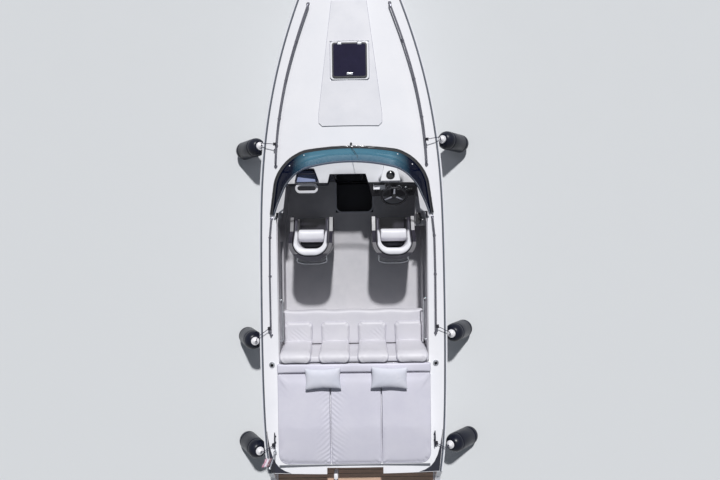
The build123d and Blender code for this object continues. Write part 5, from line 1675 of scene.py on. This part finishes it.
def makeHatchTrim():
    middle, lift = hatchTrim["y"], hatchTrim["lift"]
    slope = deckSlope(middle)
    up = Vector((0, -slope, 1)).normalized()
    level = heightOn("deck_hatch_lid", hatchTrim["lidSpot"], middle) - hatchTrim["lidThick"]

    def onHatch(x, y, height):
        return frameAt(Vector((x, middle + y, level + slope * y)) + up * height, up, (1, 0, 0))

    x, y, width, length = hatchTrim["latch"]
    shapes = [slabShape(roundRect(width, length, 0.008), 0.006, 0.002, onHatch(x, -y, 0.0315))]
    shapes.append(slabShape(roundRect(width * 0.45, length * 0.5, 0.004), 0.005, 0.0015, onHatch(x, -y, 0.037)))
    x, y, width, length = hatchTrim["strap"]
    for side in (-1, 1):
        shapes.append(slabShape(roundRect(width, length, 0.006), 0.003, 0.001, onHatch(side * x, y, 0.0302)))
    hardPiece("hatch_latch_and_hinge_straps", shapes, "brushedSteel", "deck_hatch")
    # a dark grey loop round the hatch frame: a painted shadow line
    path = []
    for x, y in roundRect(hatchTrim["frame"], hatchTrim["frame"], hatchTrim["frameCorner"], 6):
        path.append(Vector((x, middle + y, heightOn("deck", x, middle + y) + lift)))
    hardPiece("hatch_shadow_line", [loopShape(path, 0.005, 8)], "grooveAndShadowGrey", "boat")
    line = []
    outline = hatchTrim["panel"]
    for corner, after in zip(outline, outline[1:] + outline[:1]):
        count = max(int(math.dist(corner, after) / hatchTrim["grooveStep"]), 1)
        line += spaced(corner, after, count)
    groove = [Vector((x, y, heightOn("deck", x, y) + lift)) for x, y in insetLine(line, hatchTrim["grooveOut"])]
    hardPiece("foredeck_panel_groove", [loopShape(groove, hatchTrim["groove"], 8)], "grooveAndShadowGrey", "boat")


makeHatchTrim()

# bow light, rod holder rings, a black step mat that paints the shadow in the stern step, and the post of the stern
# shower
bowLight = {"place": (0.0, 3.500), "sink": 0.004, "housing": (0.058, 0.110, 0.027), "lensAt": (0.0245, 0.012, 0.014),
            "lens": [(0.0, -0.024), (0.008, -0.020), (0.011, -0.008), (0.0115, 0.008), (0.008, 0.020), (0.0, 0.024)]}
rodRing = {"place": (1.110, -2.205), "probe": 0.055, "radius": 0.0285, "lift": 0.0115, "lean": 0.06, "bar": 0.0046}
stepShadeMat = {"size": (0.752, 0.086), "y": -3.661, "z": 0.4285, "ribs": 8, "pitch": 0.0095, "first": 0.010}
shower = {"place": (-0.274, -3.822, 0.4285), "size": (0.060, 0.098, 0.029), "height": 0.165, "edge": 0.022}


def makeBowLight():
    x, y = bowLight["place"]
    z = heightOn("deck", x, y)
    base = Matrix.Translation((x, y, z - bowLight["sink"]))
    housing = slabShape(roundRect(*bowLight["housing"]), 0.036, 0.012, base)
    hardPiece("bow_light_housing", [housing], "stainlessSteel", "boat")
    out, ahead, lift = bowLight["lensAt"]
    for name, side in (("port", -1), ("starboard", 1)):
        lens = latheShape(bowLight["lens"], (side * out, y + ahead, z + lift), (-side * 0.25, 1, 0), 20)
        hardPiece(f"bow_light_lens_{name}", [lens], f"lens{name.capitalize()}", "boat")


def makeRodRings():
    shapes = []
    radius, lean = rodRing["radius"], rodRing["lean"]
    for side in (-1, 1):
        x, y = side * rodRing["place"][0], rodRing["place"][1]
        z = heightOn("deck", x + side * rodRing["probe"], y) + rodRing["lift"]
        ring = []
        for turn in around(36):
            across = radius * math.cos(turn)
            ring.append(Vector((x + across, y + radius * math.sin(turn), z - side * lean * across)))
        shapes.append(loopShape(ring, rodRing["bar"], 10))
    hardPiece("rod_holder_rings", shapes, "railSteel", "boat")


def makeSternFittings():
    (width, length), y, z = stepShadeMat["size"], stepShadeMat["y"], stepShadeMat["z"]
    # black ribbed mat: a dark sheet that paints the shadow over the stern step
    ribs = [slabShape(roundRect(width, length, 0.012), 0.005, 0.002, Matrix.Translation((0, y, z)))]
    for k in range(stepShadeMat["ribs"]):
        place = Matrix.Translation((0, y - length / 2 + stepShadeMat["first"] + k * stepShadeMat["pitch"], z + 0.0045))
        ribs.append(slabShape(roundRect(width - 0.03, 0.0045, 0.002, 2), 0.002, 0.0008, place))
    hardPiece("stern_step_shade_mat", ribs, "blackRubber", "boat")
    place = Matrix.Translation(shower["place"])
    post = slabShape(roundRect(*shower["size"]), shower["height"], shower["edge"], place)
    hardPiece("stern_shower_housing", [post], "whiteGelcoat", "boat")


makeBowLight()
makeRodRings()
makeSternFittings()

# flag furled round its staff: one strip of cloth in upright folds
flagShape = {"x": (-1.197, -1.1075), "y": -3.428, "low": 0.906, "high": 1.160, "folds": 5, "depth": 0.0105,
             "columns": 90, "rows": 24, "droop": 0.010, "least": 0.004, "waist": 0.10}
flagTies = {"middle": -1.153, "heights": (0.945, 1.105), "reach": (0.0445, 0.0125), "cord": 0.0018}


def makeFlag():
    x0, x1 = flagShape["x"]
    low, high = flagShape["low"], flagShape["high"]
    columns, rows = flagShape["columns"], flagShape["rows"]
    points = []
    for row in range(rows + 1):
        up = row / rows
        squeeze = 1 - flagShape["waist"] * math.sin(math.pi * up) ** 2
        for k in range(columns + 1):
            share = k / columns
            drift = 0.5 * math.sin(2.2 * up) + 0.3 * cloud(share, up, 4, 3, 0.4)
            depth = flagShape["depth"] * (0.82 + 0.16 * math.sin(5 * share + 2 * up))
            x = x1 - (x1 - x0) * share * squeeze
            y = flagShape["y"] + depth * math.sin(2 * math.pi * flagShape["folds"] * share + drift)
            z = low + (high - low) * up - flagShape["droop"] * share * (1 - up)
            points.append(Vector((x, y, max(z, low - flagShape["least"]))))
    faces = gridFaces(rows + 1, columns + 1)
    flag = addPiece("flag_cloth_furled", points, faces, "flagCloth", "boat")
    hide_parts("flag")
    ties = []
    across, deep = flagTies["reach"]
    for z in flagTies["heights"]:
        ring = []
        for turn in around(24):
            x, y = flagTies["middle"] + across * math.cos(turn), flagShape["y"] + deep * math.sin(turn)
            ring.append(Vector((x, y, z)))
        ties.append(loopShape(ring, flagTies["cord"], 6))
    hardPiece("flag_ties", ties, "whiteRope", "boat")


makeFlag()

# rounded edges on the box-like CAD parts
roundedNodes = {"sunpad_lid": 0.006, "port_console": 0.006, "helm_console": 0.005, "dash_top": 0.004,
                "swim_platform": 0.006, "seat_shells": 0.004, "bench_base": 0.006, "engine_bay_coaming": 0.003,
                "cabin_door": 0.003, "engine_block": 0.012, "drive_leg": 0.010, "drive_mount": 0.005,
                "gimbal_ring": 0.004, "anchor_locker_lid": 0.003, "deck_hatch_lid": 0.003, "deck_hatch_frame": 0.003,
                "cockpit_liner": 0.004, "entry_well": 0.003, "cabin_bulkhead": 0.003, "windshield_foot": 0.003}
edgeRounding = {"weld": 0.00005, "segments": 2, "sharp": 40}


def roundNodes():
    for name, width in roundedNodes.items():
        weld = nodes[name].modifiers.new("weld", "WELD")
        weld.merge_threshold = edgeRounding["weld"]
        bevel = nodes[name].modifiers.new("softEdges", "BEVEL")
        bevel.width, bevel.segments = width, edgeRounding["segments"]
        bevel.limit_method, bevel.angle_limit = "ANGLE", math.radians(edgeRounding["sharp"])
        bevel.harden_normals = True


roundNodes()
print("fittings done")

scene.view_settings.view_transform = "Standard"
